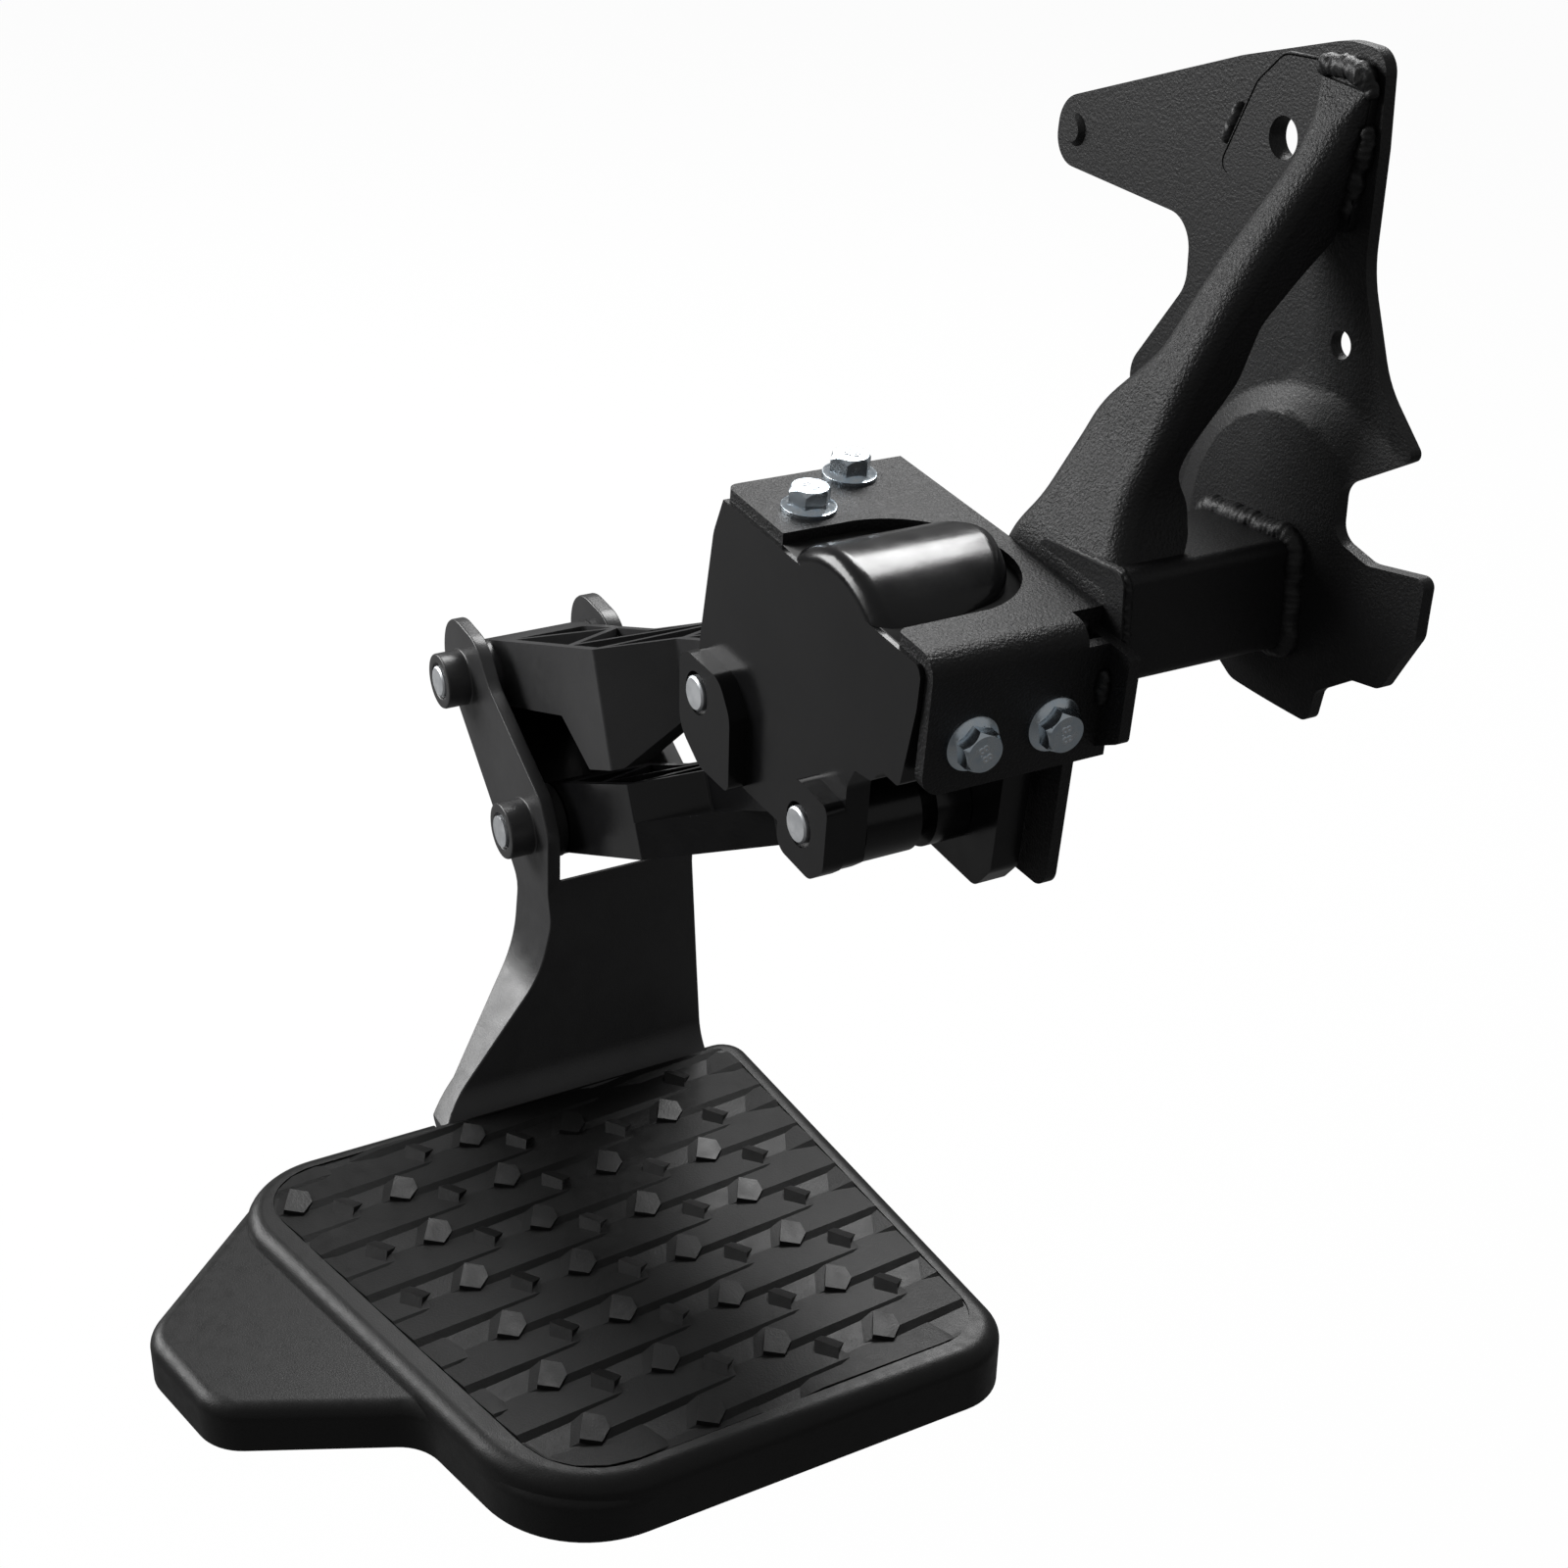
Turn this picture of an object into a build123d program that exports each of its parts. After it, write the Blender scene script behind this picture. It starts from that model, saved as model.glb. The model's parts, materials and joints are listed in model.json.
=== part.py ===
from build123d import *
from math import cos, hypot, radians, sin, tan
import os

os.makedirs("parts", exist_ok=True)

# Rear bed step, in millimetres. +X to the rear, +Y inboard towards the frame, +Z up.
# It is drawn about the outboard front top corner of the hinge bracket and then
# moved so that the main bolt hole on the inboard face of the frame plate is the origin.

# Pivots, as (x, z)
FRAME_UP = (2.8, -90.2)
FRAME_LOW = (90.3, -102.5)
STEP_UP = (-184.6, -173.7)
STEP_LOW = (-108.8, -214.3)

# Frame plate
PLATE_OUT = 165.0
PLATE_T = 5.0
PLATE_IN = PLATE_OUT + PLATE_T
MAIN_HOLE = (102.6, 152.6)
MAIN_HOLE_R = 7.7
SECOND_HOLE = (148.1, 91.0)
SECOND_HOLE_R = 5.25
DOUBLER_T = 3.0
BOSS_FOOT = (150.8, -1.2)
BOSS_FOOT_R = 75.3
BOSS_CREST = (139.5, 8.5)
BOSS_CREST_R = 50.0
BOSS_H = 5.0

# Hinge bracket, folded sheet
SHEET = 5.0
BRACKET_L = 155.1
BRACKET_W = 80.4
FACE_H = 56.0
BEND_R = 9.0

# Hinge housing
HOUSE_OUT = -2.0
EAR_OUT = -10.0
EAR_IN = 8.5
INNER_EAR_END = BRACKET_W - SHEET - 5.4
INNER_EAR = INNER_EAR_END - 13.0
HOUSE_END = BRACKET_L - SHEET

# Pins, bushes and fits
PIN_R = 7.5
SLIM_PIN_R = 5.0
BUSH_R = 9.5
RUN_FIT = 0.05
SIDE_FIT = 0.4
PIN_PROUD = 1.4
COUNTERBORE_R = 9.4
COUNTERBORE_D = 3.0
OPEN_EYE_R = 11.6

# Step bracket ears
EAR_NEAR_OUT = -37.0
EAR_NEAR_IN = -30.5
EAR_FAR_IN = 30.5
EAR_FAR_OUT = 38.5
COLLAR_R = 13.5
COLLAR_H = 12.0

# Links
LINK_NEAR = -22.0
LINK_FAR = 24.5
LINK_WALL = 4.5

# Tread
TREAD_TILT = 5.0
TREAD_ORIGIN = (-58.4, -334.3)
PAD_T = 4.0
DECK_T = 4.0
BODY_H = 28.0
BODY_WALL = 3.5

# Bolts
BOLT_R = 5.0
BOLT_FLAT = 15.0
BOLT_FLANGE_R = 11.0
BOLT_HOLE_R = 5.5
TOP_BOLTS = ((30.4, 20.2), (9.4, 50.7))
REAR_BOLTS = ((19.2, -36.5), (54.2, -36.4))


def outline(points, plane=Plane.XY):
    """Closed outline; the third number of a point is the radius of its corner."""
    count = len(points)
    corners = []
    for i in range(count):
        before = Vector(*points[i - 1][:2])
        here = Vector(*points[i][:2])
        after = Vector(*points[(i + 1) % count][:2])
        r = points[i][2] if len(points[i]) > 2 else 0
        if r == 0:
            corners.append((here, None, here))
            continue
        a = (before - here).normalized()
        b = (after - here).normalized()
        half = radians(a.get_angle(b)) / 2
        room = min((before - here).length, (after - here).length) * 0.49
        reach = min(r / tan(half), room)
        r = reach * tan(half)
        middle = here + (a + b).normalized() * (r / sin(half) - r)
        corners.append((here + a * reach, middle, here + b * reach))
    edges = []
    for i in range(count):
        start, middle, end = corners[i]
        if middle is not None:
            edges.append(ThreePointArc(start, middle, end))
        nxt = corners[(i + 1) % count][0]
        if (nxt - end).length > 1e-5:
            edges.append(Line(end, nxt))
    return plane * make_face(edges)


def slab_y(points, y0, y1):
    """Outline in x and z, thick along y."""
    plane = Plane(origin=(0, y0, 0), x_dir=(1, 0, 0), z_dir=(0, -1, 0))
    return extrude(outline(points, plane), amount=y1 - y0, dir=(0, 1, 0))


def slab_x(points, x0, x1):
    """Outline in y and z, thick along x."""
    plane = Plane(origin=(x0, 0, 0), x_dir=(0, 1, 0), z_dir=(1, 0, 0))
    return extrude(outline(points, plane), amount=x1 - x0, dir=(1, 0, 0))


def rod_y(centre, y0, y1, r):
    return Pos(centre[0], (y0 + y1) / 2, centre[1]) * Rot(90, 0, 0) * Cylinder(r, y1 - y0)


def rod_x(centre, x0, x1, r):
    return Pos((x0 + x1) / 2, centre[0], centre[1]) * Rot(0, 90, 0) * Cylinder(r, x1 - x0)


def block(x0, x1, y0, y1, z0, z1):
    return Pos((x0 + x1) / 2, (y0 + y1) / 2, (z0 + z1) / 2) * Box(x1 - x0, y1 - y0, z1 - z0)


def soften(part, edges, r):
    """Round some edges if the shape allows it."""
    picked = list(edges)
    if not picked:
        return part
    try:
        return fillet(picked, r)
    except Exception:
        return part


def link_planes(a, b):
    """Side plane and plan plane of a link from pivot a to pivot b."""
    length = hypot(b[0] - a[0], b[1] - a[1])
    u = ((b[0] - a[0]) / length, 0, (b[1] - a[1]) / length)
    v = (-u[2], 0, u[0])
    return u, v, length


def link_slab(a, b, points, y0, y1):
    """Side profile of a link, (along, across), thick along y."""
    u, v, length = link_planes(a, b)
    plane = Plane(origin=(a[0], y0, a[1]), x_dir=u, z_dir=(0, -1, 0))
    return extrude(outline(points, plane), amount=y1 - y0, dir=(0, 1, 0))


def link_plan(a, b, points, low, high):
    """Plan profile of a link, (along, y), from one height to another across it."""
    u, v, length = link_planes(a, b)
    origin = (a[0] + v[0] * low, 0, a[1] + v[2] * low)
    plane = Plane(origin=origin, x_dir=u, z_dir=v)
    return extrude(outline(points, plane), amount=high - low, dir=v)


# Frame plate
plate_outline = [
    (-35.2, 104.6, 14.7), (-35.2, 129.8, 14.7), (70.7, 173.6, 60), (123.1, 192, 40), (143, 193, 9),
    (148.3, 160.9, 40), (152.7, 118.7, 50), (171.1, 83.9, 40), (194.5, 65.5, 3),
    (166.7, 44.8, 8), (169.2, 25.3, 8), (188.2, 22.7, 10), (212.9, 27.9, 4),
    (215.0, 5.2, 8), (204.5, -20.3, 5), (191.2, -22.9, 6), (175.0, -35.9, 6),
    (172.4, -51.3, 5), (126.8, -55.1, 10), (106.3, -44.6, 12), (86.9, -6.3, 30),
    (60.0, 20.0, 12), (26.3, 31.6, 14), (59.3, 82.9, 16), (56.0, 108.0, 14),
]


def boss_cone(y_face, less):
    """Raised round field of the plate, from its wide foot to its crest."""
    foot = Plane(origin=(BOSS_FOOT[0], y_face, BOSS_FOOT[1]), z_dir=(0, -1, 0))
    crest = Plane(origin=(BOSS_CREST[0], y_face - BOSS_H, BOSS_CREST[1]), z_dir=(0, -1, 0))
    return loft([foot * Circle(BOSS_FOOT_R - less), crest * Circle(BOSS_CREST_R - less)])


plate = slab_y(plate_outline, PLATE_OUT, PLATE_IN)
plate += slab_y(plate_outline, PLATE_OUT - BOSS_H, PLATE_OUT) & boss_cone(PLATE_OUT, 0)
plate -= boss_cone(PLATE_IN, 1.0)
plate -= rod_y(MAIN_HOLE, PLATE_OUT - 5, PLATE_IN + 5, MAIN_HOLE_R)
plate -= rod_y(SECOND_HOLE, PLATE_OUT - 5, PLATE_IN + 5, SECOND_HOLE_R)

doubler_outline = [
    (69.4, 131.5, 4), (83.3, 168.5, 10), (95.5, 181.5, 8), (136.5, 187.0, 5),
    (142.5, 178.0, 8), (144.5, 130.0, 4),
]
doubler = slab_y(doubler_outline, PLATE_OUT - DOUBLER_T, PLATE_OUT)
doubler -= rod_y(MAIN_HOLE, PLATE_OUT - 5, PLATE_OUT + 1, MAIN_HOLE_R)

plug_centre = (-23.1, 120.1)
plug = Pos(plug_centre[0], PLATE_OUT - 1.2, plug_centre[1]) * Rot(90, 0, 0) * Cone(6.6, 4.6, 2.4)

# Cross tube, rectangular and turned a little about y
TUBE_X = 52.8
TUBE_Z = 43.1
TUBE_T = 4.0
TUBE_TURN = 8.5
TUBE_C = (128.1, -9.0)


def tube_face(grow, y, r):
    plane = Plane(origin=(TUBE_C[0], y, TUBE_C[1]), x_dir=(1, 0, 0), z_dir=(0, -1, 0))
    return plane * Rot(0, 0, TUBE_TURN) * RectangleRounded(TUBE_X + 2 * grow, TUBE_Z + 2 * grow, r)


TUBE_END = PLATE_OUT
tube_solid = extrude(tube_face(0, BRACKET_W, 5), amount=TUBE_END - BRACKET_W, dir=(0, 1, 0))
tube_bore = extrude(tube_face(-TUBE_T, BRACKET_W + TUBE_T, 2), amount=TUBE_END - BRACKET_W, dir=(0, 1, 0))
tube = tube_solid - tube_bore - plate


def tube_bead(y_wall, side, leg):
    """Fillet weld all round the tube where it meets a wall."""
    wide = tube_face(leg, y_wall, 5 + leg)
    slim = tube_face(0.3, y_wall + side * leg, 5.3)
    return loft([wide, slim]) - tube_solid


plate_bead = tube_bead(PLATE_OUT - BOSS_H + 1, -1, 5.0) - plate
bracket_bead = tube_bead(BRACKET_W, 1, 4.5)

# Gusset arm, folded from sheet, from the bracket up to the doubler
ARM_T = 4.5
ARM_SPAN = (60.0, 170.0)
ARM_TOP = PLATE_OUT - DOUBLER_T
ARM_REAR = ((130.0, -10.0), (130.5, 7.0), (132.5, 30.0), (135.5, 60.0), (137.0, 100.0), (138.5, 132.0),
            (142.0, 156.0), (142.5, 185.0))
arm_line = [(BRACKET_W, 4.0), (BRACKET_W + 17.3, 48.5, 90), (BRACKET_W + 26.3, 76.7, 90),
            (BRACKET_W + 40.0, 106.0, 120), (158.5, 177.0, 60), (ARM_TOP, 180.5)]
arm_free = [(ARM_TOP, 127.0), (156.4, 120.6, 6), (151.0, 115.4, 10), (BRACKET_W + 56.1, 97.9, 20),
            (BRACKET_W + 50.6, 77.0, 14), (BRACKET_W + 33.8, 55.0, 14), (BRACKET_W + 30.4, 46.5, 8),
            (BRACKET_W + 31.8, 37.4, 10), (BRACKET_W + 30.6, 21.3, 10), (BRACKET_W + 20.6, 3.5, 12),
            (BRACKET_W + 12.6, -3.8), (BRACKET_W, -12.0)]
arm_front = [(73.0, -4.0), (85.6, 19.0, 10), (93.0, 57.4, 14), (111.4, 81.8, 14), (116.5, 119.4, 60),
             (123.0, 152.0, 12), (121.8, 163.0), (116.4, 185.0)]


def arm_body(inset, r):
    """Folded arm; inset shifts its outer faces inwards and r rounds its two long folds."""
    shift = inset * 1.08
    line = [(p[0] + shift, p[1] - inset * 0.42) + tuple(p[2:]) for p in arm_line]
    line[0] = (BRACKET_W, line[0][1] - inset * 2)
    line[-1] = (ARM_TOP, line[-1][1] - inset * 0.5)
    if inset:
        free = [(ARM_TOP, 60.0), (200.0, -60.0), (BRACKET_W, -60.0)]
        line[-1] = (ARM_TOP + 1, line[-1][1])
        free[0] = (ARM_TOP + 1, 60.0)
        line[0] = (BRACKET_W - 1, line[0][1])
        free[-1] = (BRACKET_W - 1, -60.0)
    else:
        free = arm_free
    side = [(p[0] + inset, p[1]) + tuple(p[2:]) for p in arm_front]
    side += [(p[0] - inset, p[1]) for p in reversed(ARM_REAR)]
    body = slab_x(line + free, ARM_SPAN[0], ARM_SPAN[1]) & slab_y(side, BRACKET_W - 2, ARM_TOP + 2)
    folds = []
    for face in body.faces():
        out = face.normal_at(face.center())
        if out.Y < -0.3 and abs(out.X) < 0.2 and out.Z > 0.05:
            folds += [e for e in face.edges() if abs(e.tangent_at(0.5).X) < 0.6]
    return soften(body, folds, r)


arm_outer = arm_body(0, 10)
arm_inner = arm_body(ARM_T, 5.5)
arm = arm_outer - arm_inner - tube_solid - bracket_bead - plate_bead

arm_beads = [
    Pos(129.5, ARM_TOP - 1.6, 183.2) * Rot(0, 4, 0) * Box(17, 3.2, 5.0),
    Pos(140.6, ARM_TOP - 1.6, 152.0) * Rot(0, -3.3, 0) * Box(4.5, 3.2, 44),
]
arm_beads = [(bead - arm - doubler).solids().sort_by(SortBy.VOLUME)[-1] for bead in arm_beads]
doubler_bead = Pos(72.6, PLATE_OUT - 1.5, 150.5) * Rot(0, 20.5, 0) * Box(5.0, 3.0, 22.0) - doubler

# Hinge bracket
bracket_profile = [
    (0, 0), (BRACKET_L, 0, BEND_R), (BRACKET_L, -FACE_H), (BRACKET_L - SHEET, -FACE_H),
    (BRACKET_L - SHEET, -SHEET, BEND_R - SHEET), (0, -SHEET),
]
bracket = slab_y(bracket_profile, 0, BRACKET_W)
RELIEF = 13.1
flange_outline = [
    (0, 0), (BRACKET_L - RELIEF, 0), (BRACKET_L - RELIEF, -8), (BRACKET_L + 12.5, -8, 3),
    (BRACKET_L + 13.1, -43.5, 3), (HOUSE_END, -54, 6), (HOUSE_END - 11.6, -66, 8),
    (HOUSE_END - 11.8, -126.4, 8), (88, -129, 18), (62, -112, 30), (18, -118, 20), (-20, -112, 16), (-16, -62, 14),
    (0, -44, 8),
]
side_flange = slab_y(flange_outline, BRACKET_W - SHEET, BRACKET_W)
bracket += side_flange
bracket -= block(BRACKET_L - RELIEF, BRACKET_L + 5, BRACKET_W - 14, BRACKET_W + 1, -8, 1)
cut_left = 46.5
cut_right = BRACKET_L - 25.5
cut_deep = BRACKET_W - 9.9
cut_edges = [
    Line((cut_left, -5), (cut_left, 24)),
    ThreePointArc((cut_left, 24), (56, cut_deep - 15.5), (83, cut_deep)),
    ThreePointArc((83, cut_deep), (cut_right - 16.6, cut_deep - 6), (cut_right - 0.6, 40)),
    Line((cut_right - 0.6, 40), (cut_right, 4)),
    ThreePointArc((cut_right, 4), (cut_right + 1, 1.2), (cut_right + 4, -0.5)),
    Line((cut_right + 4, -0.5), (cut_right + 4, -5)),
    Line((cut_right + 4, -5), (cut_left, -5)),
]
cut_out = extrude(Pos(0, 0, -SHEET - 1) * make_face(cut_edges), amount=SHEET + 2, dir=(0, 0, 1))
bracket -= cut_out
for x, y in TOP_BOLTS:
    bracket -= Pos(x, y, -SHEET / 2) * Cylinder(BOLT_HOLE_R, SHEET + 2)
for y, z in REAR_BOLTS:
    bracket -= rod_x((y, z), BRACKET_L - SHEET - 1, BRACKET_L + 1, BOLT_HOLE_R)
for pivot in (FRAME_UP, FRAME_LOW):
    bracket -= rod_y(pivot, BRACKET_W - SHEET - 1, BRACKET_W + 1, PIN_R)
corner_edges = [e for e in bracket.edges().filter_by(Axis.Z) if abs(e.length - SHEET) < 0.01]
corner_edges = [e for e in corner_edges if e.center().X < 1 and abs(e.center().Z + SHEET / 2) < 0.1]
bracket = soften(bracket, corner_edges, 5)
lower_edges = [e for e in bracket.edges().filter_by(Axis.X) if e.center().Z < -FACE_H + 0.1]
lower_edges = [e for e in lower_edges if e.center().Y < 1 and abs(e.length - SHEET) < 0.01]
bracket = soften(bracket, lower_edges, 9)
flange_dab = Pos(BRACKET_L + 1.5, BRACKET_W - SHEET - 2.0, -25.0) * Rot(0, 0, 45) * Box(3.0, 5.0, 13.0)
flange_dab -= bracket

# Hinge housing, cast
TOP_Z = -SHEET
wall_outline = [
    (2, TOP_Z), (-4.6, -21.7, 20), (-11, -69.8, 10), (-13.5, -100, 4), (-4, -120.5, 10), (36, -121.0, 3),
    (70, -119.5, 3), (100, -121.5, 8), (110.5, -112, 6), (109.8, -76, 8), (114, -66.6, 3),
    (HOUSE_END - 24, -64.5, 4), (HOUSE_END - 19, -56.9, 4), (HOUSE_END - 6, -56.9, 3),
    (HOUSE_END - 0.3, -22, 20), (HOUSE_END, -9, 3), (HOUSE_END - 2, TOP_Z, 3),
]
inner_wall_outline = [
    (2, TOP_Z), (-4.6, -21.7, 20), (-11, -69.8, 10), (-15, -96, 12), (-8, -120, 16), (66, -132, 20),
    (118, -132, 7), (126.8, -120, 7), (127.5, -60, 6), (HOUSE_END - 6, -56.9, 3), (HOUSE_END, -9, 3),
    (HOUSE_END - 2, TOP_Z, 3),
]
body_outline = [
    (2, TOP_Z), (-4.6, -21.7, 20), (-9.5, -62), (HOUSE_END - 22, -62), (HOUSE_END - 20, -56.9),
    (HOUSE_END - 6, -56.9, 3), (HOUSE_END, -9, 3), (HOUSE_END - 2, TOP_Z, 3),
]
room_outline = [
    (9, -17, 4), (4, -30, 10), (-20, -66), (-20, -140), (HOUSE_END + 10, -140), (HOUSE_END + 10, -62),
    (HOUSE_END - 28, -60, 4), (HOUSE_END - 28, -17, 10),
]
housing = slab_y(body_outline, HOUSE_OUT, INNER_EAR_END)
housing -= slab_y(room_outline, EAR_IN, INNER_EAR)
housing += slab_y(wall_outline, HOUSE_OUT, EAR_IN)
housing += slab_y(inner_wall_outline, INNER_EAR, INNER_EAR_END)

# Bulge over the lower pivot, a low barrel along y that fills the cut-out
BULGE = (88.0, -39.3)
BULGE_R = 48.3
BULGE_EDGE = 7.0
bulge_plan = [
    (53.0, HOUSE_OUT, 10), (54.5, cut_deep - 12, 26), (84.0, cut_deep - 1.2, 24), (cut_right - 15.6, cut_deep - 10.5, 24),
    (cut_right - 6, 30, 30), (cut_right - 7, HOUSE_OUT, 10),
]
barrel = extrude(outline(bulge_plan, Plane.XY.offset(-30)), amount=60, dir=(0, 0, 1))
barrel &= rod_y(BULGE, HOUSE_OUT - 1, INNER_EAR_END + 10, BULGE_R)
crest_edges = [e for e in barrel.edges() if e.center().Z > -12 and abs(e.tangent_at(0.5).Z) < 0.9]
barrel = fillet(crest_edges, BULGE_EDGE)
barrel_room = rod_y(BULGE, EAR_IN + 6, INNER_EAR - 2, BULGE_R - 7)
housing += barrel
housing -= barrel_room & block(40, 140, EAR_IN + 6, INNER_EAR - 2, -60, 20)

ear_up_outline = [
    (-13.8, -75.5, 9), (21, -74.5, 12), (31.5, -87, 14), (34, -121, 4), (8, -122.2, 9), (-11, -112, 14),
]
ear_low_outline = [
    (73.5, -97, 10), (86.5, -83.3, 9), (110.3, -84, 4), (110.6, -113, 8), (101, -121.6, 8), (75, -121.4, 7),
]
ear_up = extrude(outline(ear_up_outline, Plane(origin=(0, EAR_OUT, 0), x_dir=(1, 0, 0), z_dir=(0, -1, 0))),
                 amount=HOUSE_OUT - EAR_OUT + 1, dir=(0, 1, 0))
ear_low = slab_y(ear_low_outline, EAR_OUT, HOUSE_OUT + 1)
housing += ear_up
housing += ear_low
for pivot in (FRAME_UP, FRAME_LOW):
    housing -= rod_y(pivot, EAR_OUT - 1, INNER_EAR_END + 1, PIN_R)
    housing -= rod_y(pivot, EAR_OUT - 1, EAR_OUT + COUNTERBORE_D, COUNTERBORE_R)

# Bosses for the flange bolts
for x, y in TOP_BOLTS:
    housing += Pos(x, y, TOP_Z - 15) * Cylinder(10, 30) & block(-4, HOUSE_END - 10, HOUSE_OUT, INNER_EAR_END, -40, TOP_Z)
for y, z in REAR_BOLTS:
    housing += rod_x((y, z), HOUSE_END - 36, HOUSE_END, 10) & block(HOUSE_END - 50, HOUSE_END - 1, HOUSE_OUT, INNER_EAR_END, -60, TOP_Z)
BOLT_REACH = 26.0
for x, y in TOP_BOLTS:
    housing -= Pos(x, y, TOP_Z - BOLT_REACH / 2) * Cylinder(BOLT_R, BOLT_REACH)
for y, z in REAR_BOLTS:
    housing -= rod_x((y, z), BRACKET_L - BOLT_REACH, BRACKET_L, BOLT_R)
housing -= rod_y(FRAME_UP, EAR_IN, INNER_EAR, 23)
housing -= rod_y(FRAME_LOW, EAR_IN, INNER_EAR, 24)


# Flange bolts
def flange_bolt(reach):
    """Bolt along -z with the underside of its flange at the origin."""
    bolt = Pos(0, 0, 0.75) * Cylinder(BOLT_FLANGE_R, 1.5)
    bolt += Pos(0, 0, 2.25) * Cone(BOLT_FLANGE_R - 0.4, 7.6, 1.5)
    head = extrude(Plane.XY.offset(1.5) * RegularPolygon(BOLT_FLAT / 2, 6, major_radius=False), amount=8.0)
    crown = Pos(0, 0, 5.5) * Cone(BOLT_FLAT / 2 + 5.2, BOLT_FLAT / 2 - 0.2, 8.0)
    bolt += head & crown
    bolt += Pos(0, 0, -reach / 2) * Cylinder(BOLT_R, reach)
    return bolt


bolt = flange_bolt(SHEET + 18.0)
top_bolts = [Pos(x, y, 0) * Rot(0, 0, 20) * bolt for x, y in TOP_BOLTS]
rear_bolts = [Pos(BRACKET_L, y, z) * Rot(0, 90, 0) * Rot(0, 0, 12) * bolt for y, z in REAR_BOLTS]


# Pins and rings
def plain_pin(centre, y0, y1, r):
    pin = rod_y(centre, y0, y1, r)
    rims = pin.edges().filter_by(GeomType.CIRCLE)
    return chamfer(rims, 0.8)


def ring(centre, y0, y1, r_in, r_out):
    return rod_y(centre, y0, y1, r_out) - rod_y(centre, y0 - 1, y1 + 1, r_in)


FRAME_PIN_END = BRACKET_W + 4.0
frame_pin_up = plain_pin(FRAME_UP, EAR_OUT - PIN_PROUD, FRAME_PIN_END, PIN_R)
frame_pin_low = plain_pin(FRAME_LOW, EAR_OUT - PIN_PROUD, FRAME_PIN_END, PIN_R)
frame_rings = [ring(p, BRACKET_W, BRACKET_W + 1.5, PIN_R, PIN_R + 3.5) for p in (FRAME_UP, FRAME_LOW)]

# Upper link, a dog-leg casting open at the top, with a fin under its outboard wall
u_up, v_up, LONG_UP = link_planes(STEP_UP, FRAME_UP)
H_NEAR = EAR_IN + SIDE_FIT
H_FAR = INNER_EAR - SIDE_FIT
up_plan = [
    (-20, LINK_NEAR), (131, LINK_NEAR, 2), (152, H_NEAR, 2), (LONG_UP + 22, H_NEAR), (LONG_UP + 22, H_FAR),
    (118, H_FAR, 3), (96, LINK_FAR, 3), (-20, LINK_FAR),
]
up_side = [
    (0, -16.2), (83, -16, 2), (106.5, -38.9, 2), (134.4, -36.9, 1), (153, -16.5, 3), (LONG_UP, -17.5),
    (LONG_UP, 17.5), (132, 16.8), (0, 15.6),
]
upper = link_slab(STEP_UP, FRAME_UP, up_side, LINK_NEAR - 1, H_FAR + 1)
upper &= link_plan(STEP_UP, FRAME_UP, up_plan, -45, 45)
fin_keep = [
    (60, LINK_NEAR - 1), (131, LINK_NEAR - 1), (153, H_NEAR - 1), (190, H_NEAR - 1), (190, H_NEAR + 5.5),
    (149, H_NEAR + 5.5), (127.5, LINK_NEAR + 6), (60, LINK_NEAR + 6),
]
fin_room = link_plan(STEP_UP, FRAME_UP, [(60, -30), (190, -30), (190, 60), (60, 60)], -45, -16.3)
fin_room -= link_plan(STEP_UP, FRAME_UP, fin_keep, -46, -16.2)
upper -= fin_room
upper += rod_y(STEP_UP, EAR_NEAR_IN + SIDE_FIT, EAR_FAR_IN - SIDE_FIT, 16.0)
upper += rod_y(FRAME_UP, H_NEAR, H_FAR, 19.0)
POCKET_FLOOR = -9.0


def pockets(a, b, plan, ribs, low):
    """Open pockets in a link, left between its ribs."""
    hollow = link_plan(a, b, plan, low, 40)
    for s0, y0, s1, y1 in ribs:
        run = hypot(s1 - s0, y1 - y0)
        ds = (s1 - s0) / run * 6
        dy = (y1 - y0) / run * 6
        ns = -(y1 - y0) / run * RIB_T / 2
        ny = (s1 - s0) / run * RIB_T / 2
        rib = [
            (s0 - ds + ns, y0 - dy + ny), (s1 + ds + ns, y1 + dy + ny),
            (s1 + ds - ns, y1 + dy - ny), (s0 - ds - ns, y0 - dy - ny),
        ]
        hollow -= link_plan(a, b, rib, low - 1, 41)
    return hollow


RIB_T = 4.5
NEAR_IN = LINK_NEAR + LINK_WALL
FAR_IN = LINK_FAR - LINK_WALL
H_NEAR_IN = H_NEAR + LINK_WALL
H_FAR_IN = H_FAR - LINK_WALL
up_room = [
    (24, NEAR_IN, 3), (129, NEAR_IN, 3), (149.5, H_NEAR_IN, 3), (LONG_UP - 26, H_NEAR_IN, 3),
    (LONG_UP - 26, H_FAR_IN, 3), (120.5, H_FAR_IN, 3), (98.5, FAR_IN, 3), (24, FAR_IN, 3),
]
up_ribs = [
    (24, NEAR_IN, 60, FAR_IN), (60, FAR_IN, 96, NEAR_IN), (96, NEAR_IN, 118, H_FAR_IN),
    (129, NEAR_IN, 122, H_FAR_IN), (122, H_FAR_IN, 152, H_NEAR_IN), (152, H_NEAR_IN, 178, H_FAR_IN),
]
upper -= pockets(STEP_UP, FRAME_UP, up_room, up_ribs, POCKET_FLOOR)
for pivot in (STEP_UP, FRAME_UP):
    upper -= rod_y(pivot, -60, 80, BUSH_R)

bush_frame_up = ring(FRAME_UP, H_NEAR, H_FAR, PIN_R + RUN_FIT, BUSH_R)
bush_step_up = ring(STEP_UP, EAR_NEAR_IN + SIDE_FIT, EAR_FAR_IN - SIDE_FIT, PIN_R + RUN_FIT, BUSH_R)

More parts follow.
